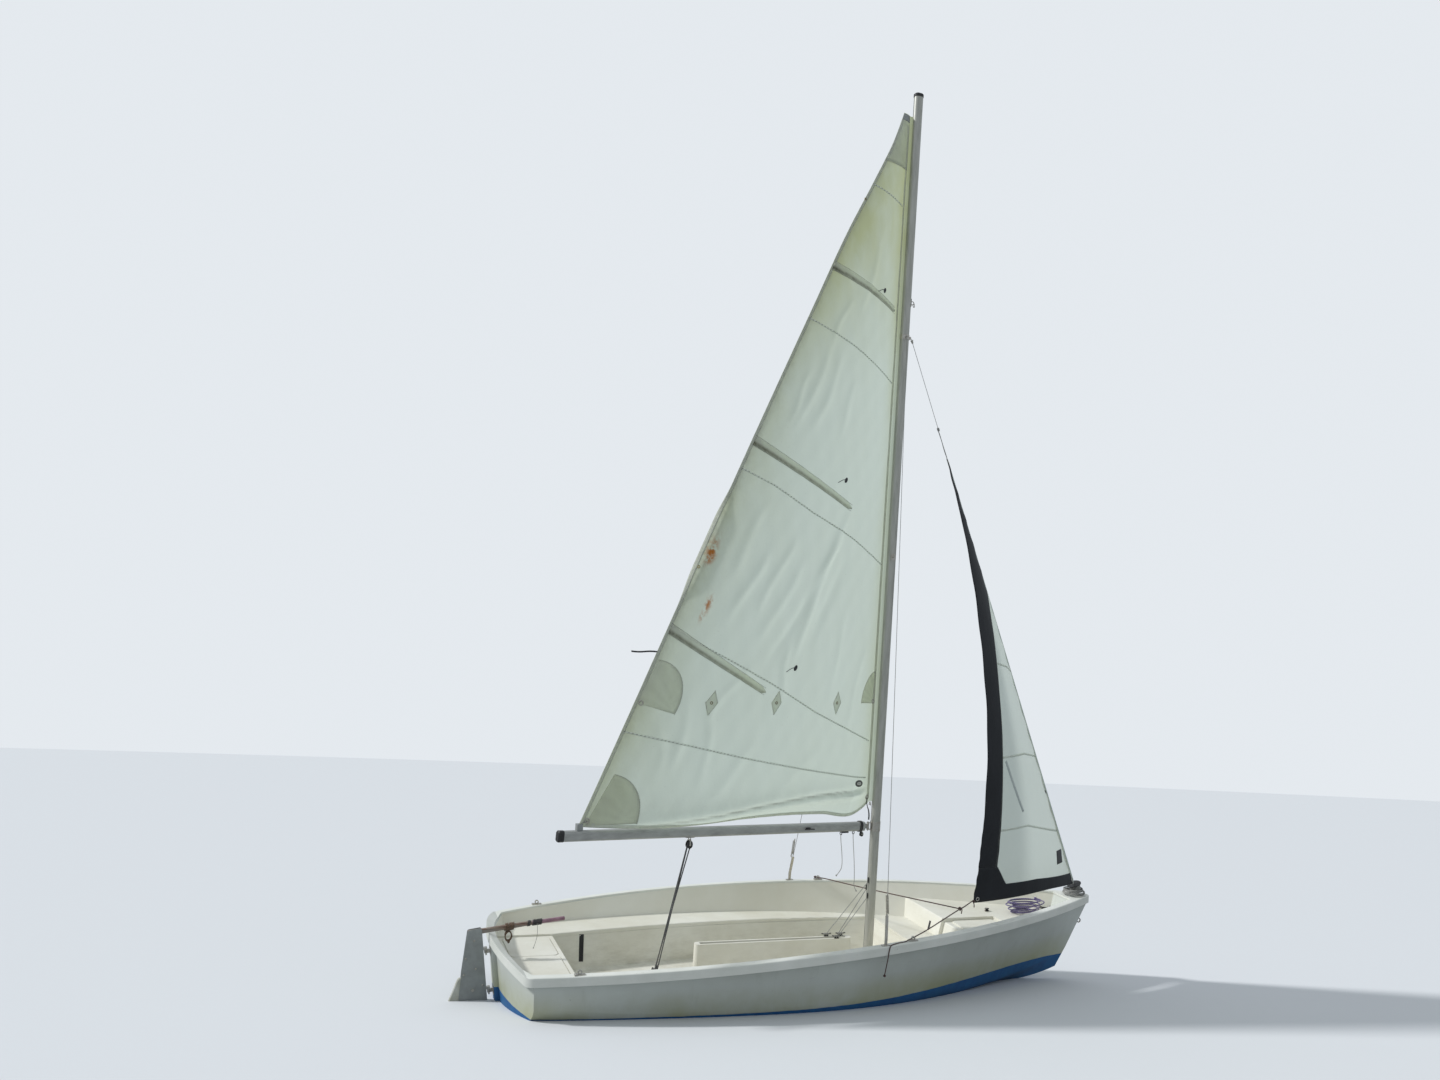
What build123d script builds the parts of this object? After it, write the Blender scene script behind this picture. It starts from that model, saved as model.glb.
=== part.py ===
from build123d import *
import math
import os

# Sailing dinghy, about 4.85 m long, upright and afloat.
# +X is forward, +Y is to port and +Z is up. The origin is on the waterline, amidships,
# on the centreline. All sizes are in millimetres and all angles in degrees.

os.makedirs("parts", exist_ok=True)

# Hull: plan outline of the gunwale rail
CORNER_X = -2300        # where the transom meets the side
TRANSOM_HALF = 720      # half beam there
BULGE = 146             # how far the transom's middle stands aft of its corners
BEAM_X = -750           # station of the greatest beam
HALF_BEAM = 940
BOW_X = 2575
CORNER_R = 90
BOW_R = 45
# Hull: side view
STERN_SHEER = 420       # rail height above the water at the transom's corner
MID_SHEER = 556         # amidships, at MID_X
MID_X = 100
BOW_SHEER = 610
CROWN = 65              # how far the rail rises from the corner to the transom's middle
DECK_FALL = 10          # how far the stern deck falls over the same distance
RAKE = 8.5              # the transom and the rudder's axis lean aft at the top
FIT = 0.3               # gap between pieces that are bonded together

# Rail
OVERHANG = 30           # the rail stands this far outside the hull's side
LIP_T = 10
RAIL_H = 60
RAIL_W = 56
FLANGE_T = 14
RAIL_NOSE = 8           # rounding of its outer edge
BREAST_L = 305          # length of the plate at the bow that joins the rail's two sides

# Inside
SIDE_T = 24             # hull's side, measured level
TRANSOM_T = 26
SEAT_Z = 325            # top of the benches and of the platform ahead of the mast
BENCH_T = 30
STERN_DROP = 14         # the stern deck lies this far below the benches
FOREDECK_UP = 145       # the foredeck lies this far above them
FOREDECK_T = 45
SOLE_Z = 60
SOLE_T = 14
RISER_T = 14
BULKHEAD_X = 1086       # foot of the bulkhead that carries the foredeck
BULKHEAD_LEAN = 12      # and how far it leans forward at the top
NOSE_R = 11
PANEL_T = 7
PANEL_GAP = 6
PANEL_UP = 3
PANEL_R = 50
REBATE = 30             # the foredeck and its bulkhead step down this far round the hatch
REBATE_FORE = 1590
REBATE_Y = (-345, -35)
HATCH_T = 9
HATCH_BACK = 70         # the hatch starts this far ahead of the bulkhead's top
# Outline of the well, aft end, widest and fore end: at the benches, then at the sole
WELL_TOP = ((-1910, 430), (-700, 575), (800, 555))
WELL_FOOT = ((-1890, 385), (-700, 525), (770, 455))

# Centreboard and its case
CASE_AFT = -940
CASE_FORE = 330
CASE_UP = 25            # the case stands this far above the benches
CASE_HALF = 34
SLOT_HALF = 19
BOARD_T = 26
CASE_R = 30
CASE_END = 40           # solid length at either end of the case
BOARD_PIN = (175, 100)  # X and Z of the pivot
BOARD_L = 1060
BOARD_AHEAD = 90
BOARD_HEAD = 60
BOARD_SWEEP = 70
PIN_R = 8
BOARD_CHORD = 310
PIN_CLEAR = 0.05
BOARD_EDGE = 8          # bevel along its leading and trailing edges

# Spars
MAST_X = 490
MAST_DEEP = 76
MAST_WIDE = 60
MAST_TOP = 7020
STEP_H = 40
HOUNDS_Z = 5060
AXIS_AFT = 26           # gooseneck axis behind the mast's aft face
BOOM_Z = 1195
BOOM_L = 2640
BOOM_DEEP = 70
BOOM_WIDE = 48
BOOM_OUT = 14.6         # boom's angle off the centreline, to starboard
BOOM_RISE = 2.2         # and its rise towards the clew

CLEW_AT = 2525          # slide under the mainsail's lower corner, measured along the boom
SLIDE_L = 44
SLIDE_W = 34

# Standing rigging
STAY_D = 4
CHAIN_X = 170
CHAIN_IN = 24           # the chainplates stand this far inside the rail's edge
TACK_BACK = 187         # lower end of the jib's luff, aft of the bow
TACK_Z = 700

# Rudder, in a plane that leans with the transom: S is forward and T is up, from the point
# on the pintle axis that lies at PINTLE_Z
PINTLE_Z = 450
PINTLE_AFT = 30         # axis behind the sternpost pad
CHEEK_T = 4
BLADE_T = 22
BLADE_EDGE = 6
BLADE_PIN = (-110, -330)
PIN_NECK = 5
PAD_T = 30
PAD_HALF = 55
PAD_FOOT = -520
PAD_HEAD = -46
GUDGEON_HIGH = -100
GUDGEON_LOW = -370
GUDGEON_H = 24
CHEEK_FRONT = -17
CHEEK = ((CHEEK_FRONT, 78), (-112, 78), (-175, -200), (-215, -420), (-150, -470), (CHEEK_FRONT, -470))
BLADE = ((-20, -330), (-20, -1010), (-70, -1090), (-215, -1090), (-290, -400), (-200, -232), (-110, -238))
SPACER_FOOT = -160      # the block between the cheeks ends here, clear of the raised blade
TILLER_T = 40
TILLER_W = 23
TILLER_JOINT = 330
TILLER_END = 560
TILLER_DIP = 14
GRIP_D = 28

# Rigging fittings
PLATE_UP = 62
PLATE_L = 150
LUG_GAP = 46
BOOM_GAP = 45
DRUM_R = 58
DRUM_H = 62
DRUM_FLANGE = 4
DRUM_CORE = 0.6         # its barrel, as a share of its radius
PIN_HEAD_T = 6
LUG_T = 5               # the gooseneck's two lugs
LUG_HALF = 11
TANG = 22               # how far the forestay's tang stands ahead of the mast
BAND_T = 3
FAIRLEAD_X = -1975
LEAD_X = 411
EYE_Z = 405             # towing eye on the stem
EYE_R = 12
EYE_RING = 8
EYE_OUT = 17            # its middle stands this far ahead of the stem

# Sails
SAIL_T = 6
CAMBER = 0.08
# height, chord, angle of the chord off the centreline
MAIN = (
    (1370, 2560, 14.8),
    (2030, 2310, 16.2),
    (2950, 1945, 18.2),
    (4090, 1480, 20.7),
    (5070, 1040, 22.8),
    (5730, 720, 24.3),
    (6230, 450, 25.4),
    (6840, 90, 26.7),
)
JIB = (
    (705, 1280, 19),
    (1400, 970, 27),
    (1950, 750, 33),
    (2780, 430, 41),
    (3390, 220, 46),
    (4120, 30, 50),
)


def sin(angle):
    return math.sin(math.radians(angle))


def cos(angle):
    return math.cos(math.radians(angle))


def tan(angle):
    return math.tan(math.radians(angle))


def save(piece, name):
    piece.part.label = name
    export_step(piece.part, f"parts/{name}.step")
    print(name, round(piece.part.volume / 1e6, 3), "litres")


# Ranges that reach past the hull on every side
ALL_X = (CORNER_X - 700, BOW_X + 425)
ALL_Y = (-HALF_BEAM - 260, HALF_BEAM + 260)
ALL_Z = (-1500, 900)


# Plan outline of the rail: two arcs a side, tangent at the greatest beam

def arc_radius(run, drop):
    return (run ** 2 + drop ** 2) / (2 * drop)


AFT_R = arc_radius(BEAM_X - CORNER_X, HALF_BEAM - TRANSOM_HALF)
FORE_R = arc_radius(BOW_X - BEAM_X, HALF_BEAM)


def half_beam(x):
    radius = AFT_R if x < BEAM_X else FORE_R
    return HALF_BEAM - radius + math.sqrt(max(radius ** 2 - (x - BEAM_X) ** 2, 0))


def plan_face(inset):
    """Outline of the rail seen from above, pulled in by inset."""
    aft_mid = (CORNER_X + BEAM_X) / 2
    fore_mid = (BOW_X + BEAM_X) / 2
    with BuildSketch() as plan:
        with BuildLine():
            ThreePointArc((CORNER_X, -TRANSOM_HALF), (CORNER_X - BULGE, 0), (CORNER_X, TRANSOM_HALF))
            for side in (1, -1):
                ThreePointArc((CORNER_X, side * TRANSOM_HALF), (aft_mid, side * half_beam(aft_mid)),
                              (BEAM_X, side * HALF_BEAM))
                ThreePointArc((BEAM_X, side * HALF_BEAM), (fore_mid, side * half_beam(fore_mid)),
                              (BOW_X, 0))
        make_face()
        if inset:
            offset(amount=-inset, kind=Kind.INTERSECTION)
        if inset < CORNER_R:
            fillet(plan.vertices().sort_by(Axis.X)[:2], CORNER_R - inset)
        if inset < BOW_R:
            fillet(plan.vertices().sort_by(Axis.X)[-1], BOW_R - inset)
    return plan.sketch


# Sheer line in side view

def sheer_line(drop, crowned):
    """The rail's top edge in side view, lowered by drop: crown at the stern, then one arc."""
    crown_x = CORNER_X - BULGE - 60
    crown_z = STERN_SHEER - drop + (CROWN if crowned else -DECK_FALL) * (BULGE + 60) / BULGE
    Line((crown_x, crown_z), (CORNER_X, STERN_SHEER - drop))
    ThreePointArc((CORNER_X, STERN_SHEER - drop), (MID_X, MID_SHEER - drop), (BOW_X + 60, BOW_SHEER - drop))
    return (crown_x, crown_z), (BOW_X + 60, BOW_SHEER - drop)


def under_sheer(drop, depth, crowned=True):
    """Everything between two sheer lines, the lower one depth below the upper one."""
    with BuildPart() as band:
        with BuildSketch(Plane.XZ):
            with BuildLine():
                upper = sheer_line(drop, crowned)
                lower = sheer_line(drop + depth, crowned)
                Line(upper[0], lower[0])
                Line(upper[1], lower[1])
            make_face()
        extrude(amount=ALL_Y[1], both=True)
    return band.part


def sheer_z(x):
    """Height of the sheer arc at station x."""
    p1, p2, p3 = (CORNER_X, STERN_SHEER), (MID_X, MID_SHEER), (BOW_X + 60, BOW_SHEER)
    d = 2 * (p1[0] * (p2[1] - p3[1]) + p2[0] * (p3[1] - p1[1]) + p3[0] * (p1[1] - p2[1]))
    sq = [p[0] ** 2 + p[1] ** 2 for p in (p1, p2, p3)]
    cx = (sq[0] * (p2[1] - p3[1]) + sq[1] * (p3[1] - p1[1]) + sq[2] * (p1[1] - p2[1])) / d
    cz = (sq[0] * (p3[0] - p2[0]) + sq[1] * (p1[0] - p3[0]) + sq[2] * (p2[0] - p1[0])) / d
    radius = math.hypot(p1[0] - cx, p1[1] - cz)
    side = 1 if cz < STERN_SHEER else -1
    return cz + side * math.sqrt(radius ** 2 - (x - cx) ** 2)


# Hull sections. Each stands on a plane that leans forward with the stem:
# foot and head: where it meets the keel and the rail, as a share of the way from CORNER_X to
# BOW_X; keel_z: height of its foot; chine and chine_z: the corner between bottom and side
# before rounding, as a share of the half width at the rail and as a height; bilge_r: rounding
SECTIONS = (
    (-0.094, -10, -0.094, 0.915, 150, 120),
    (0.062, -70, 0.062, 0.911, 105, 150),
    (0.246, -140, 0.246, 0.834, 60, 200),
    (0.451, -170, 0.451, 0.850, 35, 230),
    (0.615, -155, 0.615, 0.734, 20, 190),
    (0.759, -105, 0.759, 0.495, 20, 110),
    (0.857, -55, 0.894, 0.354, 60, 50),
    (0.931, 30, 0.994, 0.780, 190, 8),
)
TOP_SPARE = 70          # sections run this far above the rail before the sheer is cut
LAST_INSIDE = (0.891, -24, 0.940, 0.391, 119, 0)    # the open space inside ends here
STEM_HALF = 18          # half width of the stem


def station(share):
    return CORNER_X + share * (BOW_X - CORNER_X)


def side_half(head_x):
    """Half width of the hull's side at the rail."""
    if head_x < CORNER_X:
        return half_beam(CORNER_X) - OVERHANG - 45
    return max(half_beam(head_x) - OVERHANG, STEM_HALF)


def section_plane(row):
    """The section's plane, leaning with the stem, and its scale from heights to lengths on it."""
    foot_x, foot_z, head_x = station(row[0]), row[1], station(row[2])
    head_z = sheer_z(max(head_x, CORNER_X))
    lean = math.atan2(head_x - foot_x, head_z - foot_z)
    plane = Plane(origin=(foot_x, 0, foot_z), x_dir=(0, 1, 0), z_dir=(math.cos(lean), 0, -math.sin(lean)))
    return plane, 1 / math.cos(lean), head_z


def chine_y(row):
    return row[3] * side_half(station(row[2]))


def side_at(row, z):
    """Half width of the hull's straight side at height z, on one section."""
    head_z = sheer_z(max(station(row[2]), CORNER_X))
    slope = (side_half(station(row[2])) - chine_y(row)) / (head_z - row[4])
    return chine_y(row) + slope * (z - row[4])


def hull_body():
    """The outside of the hull as a solid, before the transom and the sheer are cut."""
    with BuildPart() as body:
        for row in SECTIONS:
            plane, scale, head_z = section_plane(row)
            top_z = head_z + TOP_SPARE
            chine = (chine_y(row), (row[4] - row[1]) * scale)
            top = (side_at(row, top_z), (top_z - row[1]) * scale)
            with BuildSketch(plane) as section:
                Polygon((0, 0), chine, top, (-top[0], top[1]), (-chine[0], chine[1]), align=None)
                fillet(section.vertices().sort_by(Axis.Y)[1:3], row[5])
        loft()
    return body.part


def cavity(gap):
    """The open space inside the hull's sides, smaller all round by gap."""
    with BuildPart() as space:
        for row in SECTIONS[:-1] + (LAST_INSIDE,):
            plane, scale, head_z = section_plane(row)
            foot_z = SEAT_Z - BENCH_T - 40
            top_z = head_z + TOP_SPARE
            foot = (side_at(row, foot_z) - SIDE_T - gap, (foot_z - row[1]) * scale)
            top = (side_at(row, top_z) - SIDE_T - gap, (top_z - row[1]) * scale)
            with BuildSketch(plane):
                Polygon(foot, top, (-top[0], top[1]), (-foot[0], foot[1]), align=None)
        loft()
    return space.part & past_transom(OVERHANG + TRANSOM_T + gap)


def past_transom(inset):
    """Keeps what lies forward of the transom's curved and raked face."""
    swell = (TRANSOM_HALF ** 2 + BULGE ** 2) / (2 * BULGE)
    middle_x = CORNER_X - BULGE + inset
    face = Plane(origin=(middle_x, 0, STERN_SHEER + CROWN), z_dir=(-sin(RAKE), 0, cos(RAKE)))
    with BuildPart() as keep:
        with BuildSketch(face):
            with Locations((swell, 0)):
                Circle(swell)
            with Locations((swell + 2500, 0)):
                Rectangle(5000, 2 * swell)
        extrude(amount=1500, both=True)
    return keep.part


def prism(inset):
    """Everything inside the rail's plan outline pulled in by inset."""
    with BuildPart() as column:
        with BuildSketch(Plane.XY.offset(-300)):
            add(plan_face(inset))
        extrude(amount=1200)
    return column.part


def slab(x_range, y_range, z_range):
    """A plain block between two corners."""
    with BuildPart() as block:
        with Locations((sum(x_range) / 2, sum(y_range) / 2, sum(z_range) / 2)):
            Box(x_range[1] - x_range[0], y_range[1] - y_range[0], z_range[1] - z_range[0])
    return block.part


def well_face(table, z, grow):
    """The well seen from above, as a face at height z, larger all round by grow."""
    (aft_x, aft_y), (mid_x, mid_y), (fore_x, fore_y) = table
    with BuildSketch(Plane.XY.offset(z)) as face:
        with BuildLine():
            ThreePointArc((aft_x, aft_y), (mid_x, mid_y), (fore_x, fore_y))
            ThreePointArc((aft_x, -aft_y), (mid_x, -mid_y), (fore_x, -fore_y))
            Line((aft_x, aft_y), (aft_x, -aft_y))
            Line((fore_x, fore_y), (fore_x, -fore_y))
        make_face()
        if grow:
            offset(amount=grow, kind=Kind.INTERSECTION)
    return face.sketch


def well(grow, head_z):
    """The well's space between the sole and head_z, walls leaning in towards the sole."""
    with BuildPart() as space:
        with BuildSketch(Plane.XY.offset(SOLE_Z)):
            add(well_face(WELL_FOOT, 0, grow))
        with BuildSketch(Plane.XY.offset(SEAT_Z)):
            add(well_face(WELL_TOP, 0, grow))
        loft(ruled=True)
    return space.part & slab(ALL_X, ALL_Y, (SOLE_Z - 1, head_z))


def well_column(table, grow, z_range):
    with BuildPart() as column:
        with BuildSketch(Plane.XY.offset(z_range[0])):
            add(well_face(table, 0, grow))
        extrude(amount=z_range[1] - z_range[0])
    return column.part


def rounded_column(x_range, y_range, gap, z_range):
    """An upright block with rounded corners, smaller all round by gap."""
    with BuildPart() as column:
        with BuildSketch(Plane.XY.offset(z_range[0])):
            with Locations((sum(x_range) / 2, sum(y_range) / 2)):
                RectangleRounded(x_range[1] - x_range[0] - 2 * gap, y_range[1] - y_range[0] - 2 * gap,
                                 PANEL_R - gap)
        extrude(amount=z_range[1] - z_range[0])
    return column.part


WELL_AFT = WELL_TOP[0][0]
WELL_FORE = WELL_TOP[2][0]
STERN_HALF = WELL_TOP[0][1]
SEAT_FOOT = SEAT_Z - BENCH_T
STERN_DECK_Z = SEAT_Z - STERN_DROP
FOREDECK_Z = SEAT_Z + FOREDECK_UP
CASE_TOP = SEAT_Z + CASE_UP
PANEL_X = (CORNER_X + 10, WELL_AFT - 28)
PANEL_Y = (-PANEL_GAP / 2, STERN_HALF - 12)
CASE_SLOT = slab((CASE_AFT + CASE_END, CASE_FORE - CASE_END), (-SLOT_HALF, SLOT_HALF), ALL_Z)


def fore_step(inset):
    """The foredeck and all that lies below it, with its outside pulled in by inset."""
    foot_x = BULKHEAD_X + inset
    rise = FOREDECK_UP - inset
    with BuildPart() as step:
        with BuildSketch(Plane.XZ) as profile:
            Polygon((foot_x, 0), (foot_x, SEAT_Z), (foot_x + rise * tan(BULKHEAD_LEAN), SEAT_Z + rise),
                    (ALL_X[1], SEAT_Z + rise), (ALL_X[1], 0), align=None)
            fillet(profile.vertices().sort_by(Axis.Y)[-2:].sort_by(Axis.X)[0], NOSE_R)
        extrude(amount=ALL_Y[1], both=True)
    return step.part


with BuildPart() as hull_shell:
    add(hull_body() & past_transom(OVERHANG))
    add(under_sheer(FLANGE_T + FIT, 1500), mode=Mode.INTERSECT)
    add(prism(LIP_T + 2), mode=Mode.INTERSECT)
    open_space = slab(ALL_X, ALL_Y, (SEAT_FOOT - FIT, ALL_Z[1])) - fore_step(FOREDECK_T + FIT)
    add(cavity(0) & open_space, mode=Mode.SUBTRACT)
    add(well(RISER_T + FIT, SEAT_Z), mode=Mode.SUBTRACT)
    add(well_column(WELL_FOOT, RISER_T + FIT, (SOLE_Z - SOLE_T - FIT, SOLE_Z)), mode=Mode.SUBTRACT)
    add(CASE_SLOT, mode=Mode.SUBTRACT)
save(hull_shell, "hull_shell")



def on_rail_edge(edge):
    """True for the long upper edges of the rail's outside."""
    middle = edge.position_at(0.5)
    beside = abs(abs(middle.Y) - half_beam(middle.X)) < 2 and middle.X > CORNER_X
    return edge.length > 1000 and beside and abs(middle.Z - sheer_z(middle.X)) < 1


with BuildPart() as gunwale_rail:
    add((prism(0) - prism(RAIL_W)) & under_sheer(0, FLANGE_T))
    add(prism(LIP_T) & under_sheer(0, FLANGE_T) & slab((BOW_X - BREAST_L, ALL_X[1]), ALL_Y, ALL_Z))
    add((prism(0) - prism(LIP_T)) & under_sheer(0, RAIL_H))
    fillet(gunwale_rail.edges().filter_by(on_rail_edge), RAIL_NOSE)
save(gunwale_rail, "gunwale_rail")

# Lining of the well: one tub with a floor and leaning walls
with BuildPart() as cockpit_tub:
    add(well(RISER_T, SEAT_FOOT - FIT))
    add(well_column(WELL_FOOT, RISER_T, (SOLE_Z - SOLE_T, SOLE_Z)))
    add(well(0, SEAT_Z), mode=Mode.SUBTRACT)
    add(CASE_SLOT, mode=Mode.SUBTRACT)
save(cockpit_tub, "cockpit_tub")

# Benches, stern deck, forward platform and foredeck
WELL_HOLE = well_column(WELL_TOP, 0, (0, ALL_Z[1]))
for side, name in ((1, "port_bench"), (-1, "starboard_bench")):
    outboard = sorted((side * 20, side * ALL_Y[1]))
    with BuildPart() as bench:
        add(cavity(FIT) & slab((ALL_X[0], WELL_FORE - FIT), outboard, (SEAT_FOOT, SEAT_Z)))
        add(WELL_HOLE, mode=Mode.SUBTRACT)
        stern_gap = slab((ALL_X[0], WELL_AFT + FIT), (-STERN_HALF - FIT, STERN_HALF + FIT), (0, ALL_Z[1]))
        add(stern_gap, mode=Mode.SUBTRACT)
        nosing = bench.edges().filter_by(lambda e: e.length > 2000 and e.center().Z > SEAT_Z - 1)
        fillet(nosing.sort_by(lambda e: abs(e.center().Y))[0], NOSE_R)
    save(bench, name)

with BuildPart() as stern_deck:
    add(cavity(FIT) & slab((ALL_X[0], WELL_AFT), (-STERN_HALF, STERN_HALF), (SEAT_FOOT, STERN_DECK_Z)))
    for side in (1, -1):
        y_range = sorted(side * y for y in PANEL_Y)
        add(rounded_column(PANEL_X, y_range, 0, (STERN_DECK_Z - PANEL_T, ALL_Z[1])), mode=Mode.SUBTRACT)
save(stern_deck, "stern_deck")

for side, name in ((1, "stern_panel_port"), (-1, "stern_panel_starboard")):
    y_range = sorted(side * y for y in PANEL_Y)
    with BuildPart() as stern_panel:
        panel_z = (STERN_DECK_Z - PANEL_T + FIT, STERN_DECK_Z + PANEL_UP)
        add(rounded_column(PANEL_X, y_range, PANEL_GAP, panel_z))
        chamfer(stern_panel.faces().sort_by(Axis.Z)[-1].edges(), 2)
    save(stern_panel, name)

with BuildPart() as fore_platform:
    add(cavity(FIT) & slab((WELL_FORE, BULKHEAD_X + FOREDECK_T), ALL_Y, (SEAT_FOOT, SEAT_Z)))
save(fore_platform, "fore_platform")

with BuildPart() as foredeck:
    above_seats = slab(ALL_X, ALL_Y, (SEAT_Z + FIT, ALL_Z[1]))
    around_hatch = slab((0, REBATE_FORE), REBATE_Y, (0, ALL_Z[1]))
    add(cavity(FIT) & (fore_step(0) - fore_step(FOREDECK_T)) & above_seats)
    add((fore_step(0) - fore_step(REBATE)) & around_hatch, mode=Mode.SUBTRACT)
save(foredeck, "foredeck")

HATCH_X = (BULKHEAD_X + FOREDECK_UP * tan(BULKHEAD_LEAN) + HATCH_BACK, REBATE_FORE)
HATCH_Z = FOREDECK_Z - REBATE + FIT
with BuildPart() as foredeck_hatch:
    add(rounded_column(HATCH_X, REBATE_Y, PANEL_GAP, (HATCH_Z, HATCH_Z + HATCH_T)))
    chamfer(foredeck_hatch.faces().sort_by(Axis.Z)[-1].edges(), 2)
save(foredeck_hatch, "foredeck_hatch")

# Centreboard, its case and its pin
with BuildPart() as centreboard_case:
    with BuildSketch(Plane.XY.offset(SOLE_Z + FIT)):
        with Locations(((CASE_AFT + CASE_FORE) / 2, 0)):
            RectangleRounded(CASE_FORE - CASE_AFT, 2 * CASE_HALF, CASE_R)
    extrude(amount=CASE_TOP - SOLE_Z - FIT)
    add(CASE_SLOT, mode=Mode.SUBTRACT)
    with Locations(Location(Plane(origin=(BOARD_PIN[0], 0, BOARD_PIN[1]), z_dir=(0, 1, 0)))):
        Cylinder(PIN_R + PIN_CLEAR, 4 * CASE_HALF, mode=Mode.SUBTRACT)
save(centreboard_case, "centreboard_case")

with BuildPart() as centreboard:
    with BuildSketch(Plane.XZ.offset(-BOARD_T / 2)) as outline:
        fore = BOARD_PIN[0] + BOARD_AHEAD
        aft = fore - BOARD_CHORD
        head = BOARD_PIN[1] + BOARD_HEAD
        tip = BOARD_PIN[1] - BOARD_L
        Polygon((fore, head), (aft, head), (aft, tip + BOARD_SWEEP), (aft + BOARD_SWEEP, tip),
                (fore - BOARD_SWEEP, tip), (fore, tip + 3 * BOARD_SWEEP), align=None)
        fillet(outline.vertices().sort_by(Axis.Y)[-2:], BOARD_HEAD)
        fillet(outline.vertices().sort_by(Axis.Y)[:4], BOARD_SWEEP / 2)
        with Locations(BOARD_PIN):
            Circle(PIN_R + PIN_CLEAR, mode=Mode.SUBTRACT)
    extrude(amount=BOARD_T)
    chamfer(centreboard.edges().filter_by(lambda e: e.length > BOARD_L / 2), BOARD_EDGE)
save(centreboard, "centreboard")

with BuildPart() as centreboard_pin:
    with Locations(Location(Plane(origin=(BOARD_PIN[0], 0, BOARD_PIN[1]), z_dir=(0, 1, 0)))):
        Cylinder(PIN_R, 2 * CASE_HALF + 2 * FIT)
        for side in (1, -1):
            with Locations((0, 0, side * (CASE_HALF + FIT + PIN_HEAD_T / 2))):
                Cylinder(PIN_R + 7, PIN_HEAD_T)
save(centreboard_pin, "centreboard_pin")

# Mast, with the groove that holds the mainsail's luff
STEP_TOP = SOLE_Z + FIT + STEP_H
MAST_AFT = MAST_X - MAST_DEEP / 2
AXIS_X = MAST_AFT - AXIS_AFT

with BuildPart() as mast_step:
    with BuildSketch(Plane.XY.offset(SOLE_Z + FIT)):
        with Locations((MAST_X, 0)):
            RectangleRounded(150, 120, 12)
    extrude(amount=STEP_H)
    chamfer(mast_step.faces().sort_by(Axis.Z)[-1].edges(), 4)
save(mast_step, "mast_step")

with BuildPart() as mast:
    with BuildSketch(Plane.XY.offset(STEP_TOP + FIT)):
        with Locations((MAST_X, 0)):
            SlotOverall(MAST_DEEP, MAST_WIDE)
        with Locations((MAST_AFT + 9, 0)):
            Circle(6, mode=Mode.SUBTRACT)
            Rectangle(24, 4, mode=Mode.SUBTRACT)
    extrude(amount=MAST_TOP - STEP_TOP - FIT)
save(mast, "mast")

with BuildPart() as mast_cap:
    with BuildSketch(Plane.XY.offset(MAST_TOP + FIT)):
        with Locations((MAST_X, 0)):
            SlotOverall(MAST_DEEP + 6, MAST_WIDE + 6)
    extrude(amount=28)
    chamfer(mast_cap.faces().sort_by(Axis.Z)[-1].edges(), 8)
save(mast_cap, "mast_cap")


def mast_band(z, height, thick):
    """A band round the mast from z up."""
    with BuildPart() as band:
        with BuildSketch(Plane.XY.offset(z)):
            with Locations((MAST_X, 0)):
                SlotOverall(MAST_DEEP + 2 * (FIT + thick), MAST_WIDE + 2 * (FIT + thick))
                SlotOverall(MAST_DEEP + 2 * FIT, MAST_WIDE + 2 * FIT, mode=Mode.SUBTRACT)
        extrude(amount=height)
    return band.part


with BuildPart() as hounds:
    add(mast_band(HOUNDS_Z - 20, 40, BAND_T))
    with Locations((MAST_X + MAST_DEEP / 2 + TANG - 10, 0, HOUNDS_Z)):
        Box(20, 4, 24)
    for side in (1, -1):
        with Locations((MAST_X, side * (MAST_WIDE / 2 + 10), HOUNDS_Z)):
            Box(22, 16, 4)
save(hounds, "hounds")


def wire(start, end, diameter):
    """A straight round bar between two points."""
    a, b = Vector(*start), Vector(*end)
    with BuildPart() as bar:
        with BuildSketch(Plane(origin=a, z_dir=(b - a).normalized())):
            Circle(diameter / 2)
        extrude(amount=(b - a).length)
    return bar.part


CHAIN_Y = half_beam(CHAIN_X) - CHAIN_IN
RAIL_TOP = sheer_z(CHAIN_X)
for side, name in ((1, "port"), (-1, "starboard")):
    foot = Vector(CHAIN_X, side * CHAIN_Y, RAIL_TOP + PLATE_UP)
    head = Vector(MAST_X, side * (MAST_WIDE / 2 + 14), HOUNDS_Z - 2 - 2 * FIT)
    up = (head - foot).normalized()
    with BuildPart() as chainplate:
        with Locations((CHAIN_X, side * CHAIN_Y, RAIL_TOP)):
            Box(60, 26, 12)
        add(under_sheer(-FIT, 200), mode=Mode.SUBTRACT)
        with BuildSketch(Plane(origin=foot - up * 12, x_dir=(1, 0, 0), z_dir=up)):
            Rectangle(22, 5)
        extrude(amount=PLATE_L, dir=up)
        with Locations((CHAIN_X, side * CHAIN_Y, RAIL_TOP + PLATE_UP / 2)):
            Box(22, 5, PLATE_UP - 6)
    save(chainplate, f"chainplate_{name}")
    with BuildPart() as shroud:
        add(wire(foot + up * (PLATE_L - 12 + FIT), head, STAY_D))
    save(shroud, f"shroud_{name}")

# Forestay, furler and jib
STAY_HEAD = Vector(MAST_X + MAST_DEEP / 2 + TANG + BAND_T, 0, HOUNDS_Z - 2)
STAY_FOOT = Vector(BOW_X - TACK_BACK, 0, TACK_Z)
STAY_UP = (STAY_HEAD - STAY_FOOT).normalized()
with BuildPart() as forestay:
    add(wire(STAY_FOOT, STAY_HEAD, STAY_D))
save(forestay, "forestay")

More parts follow.
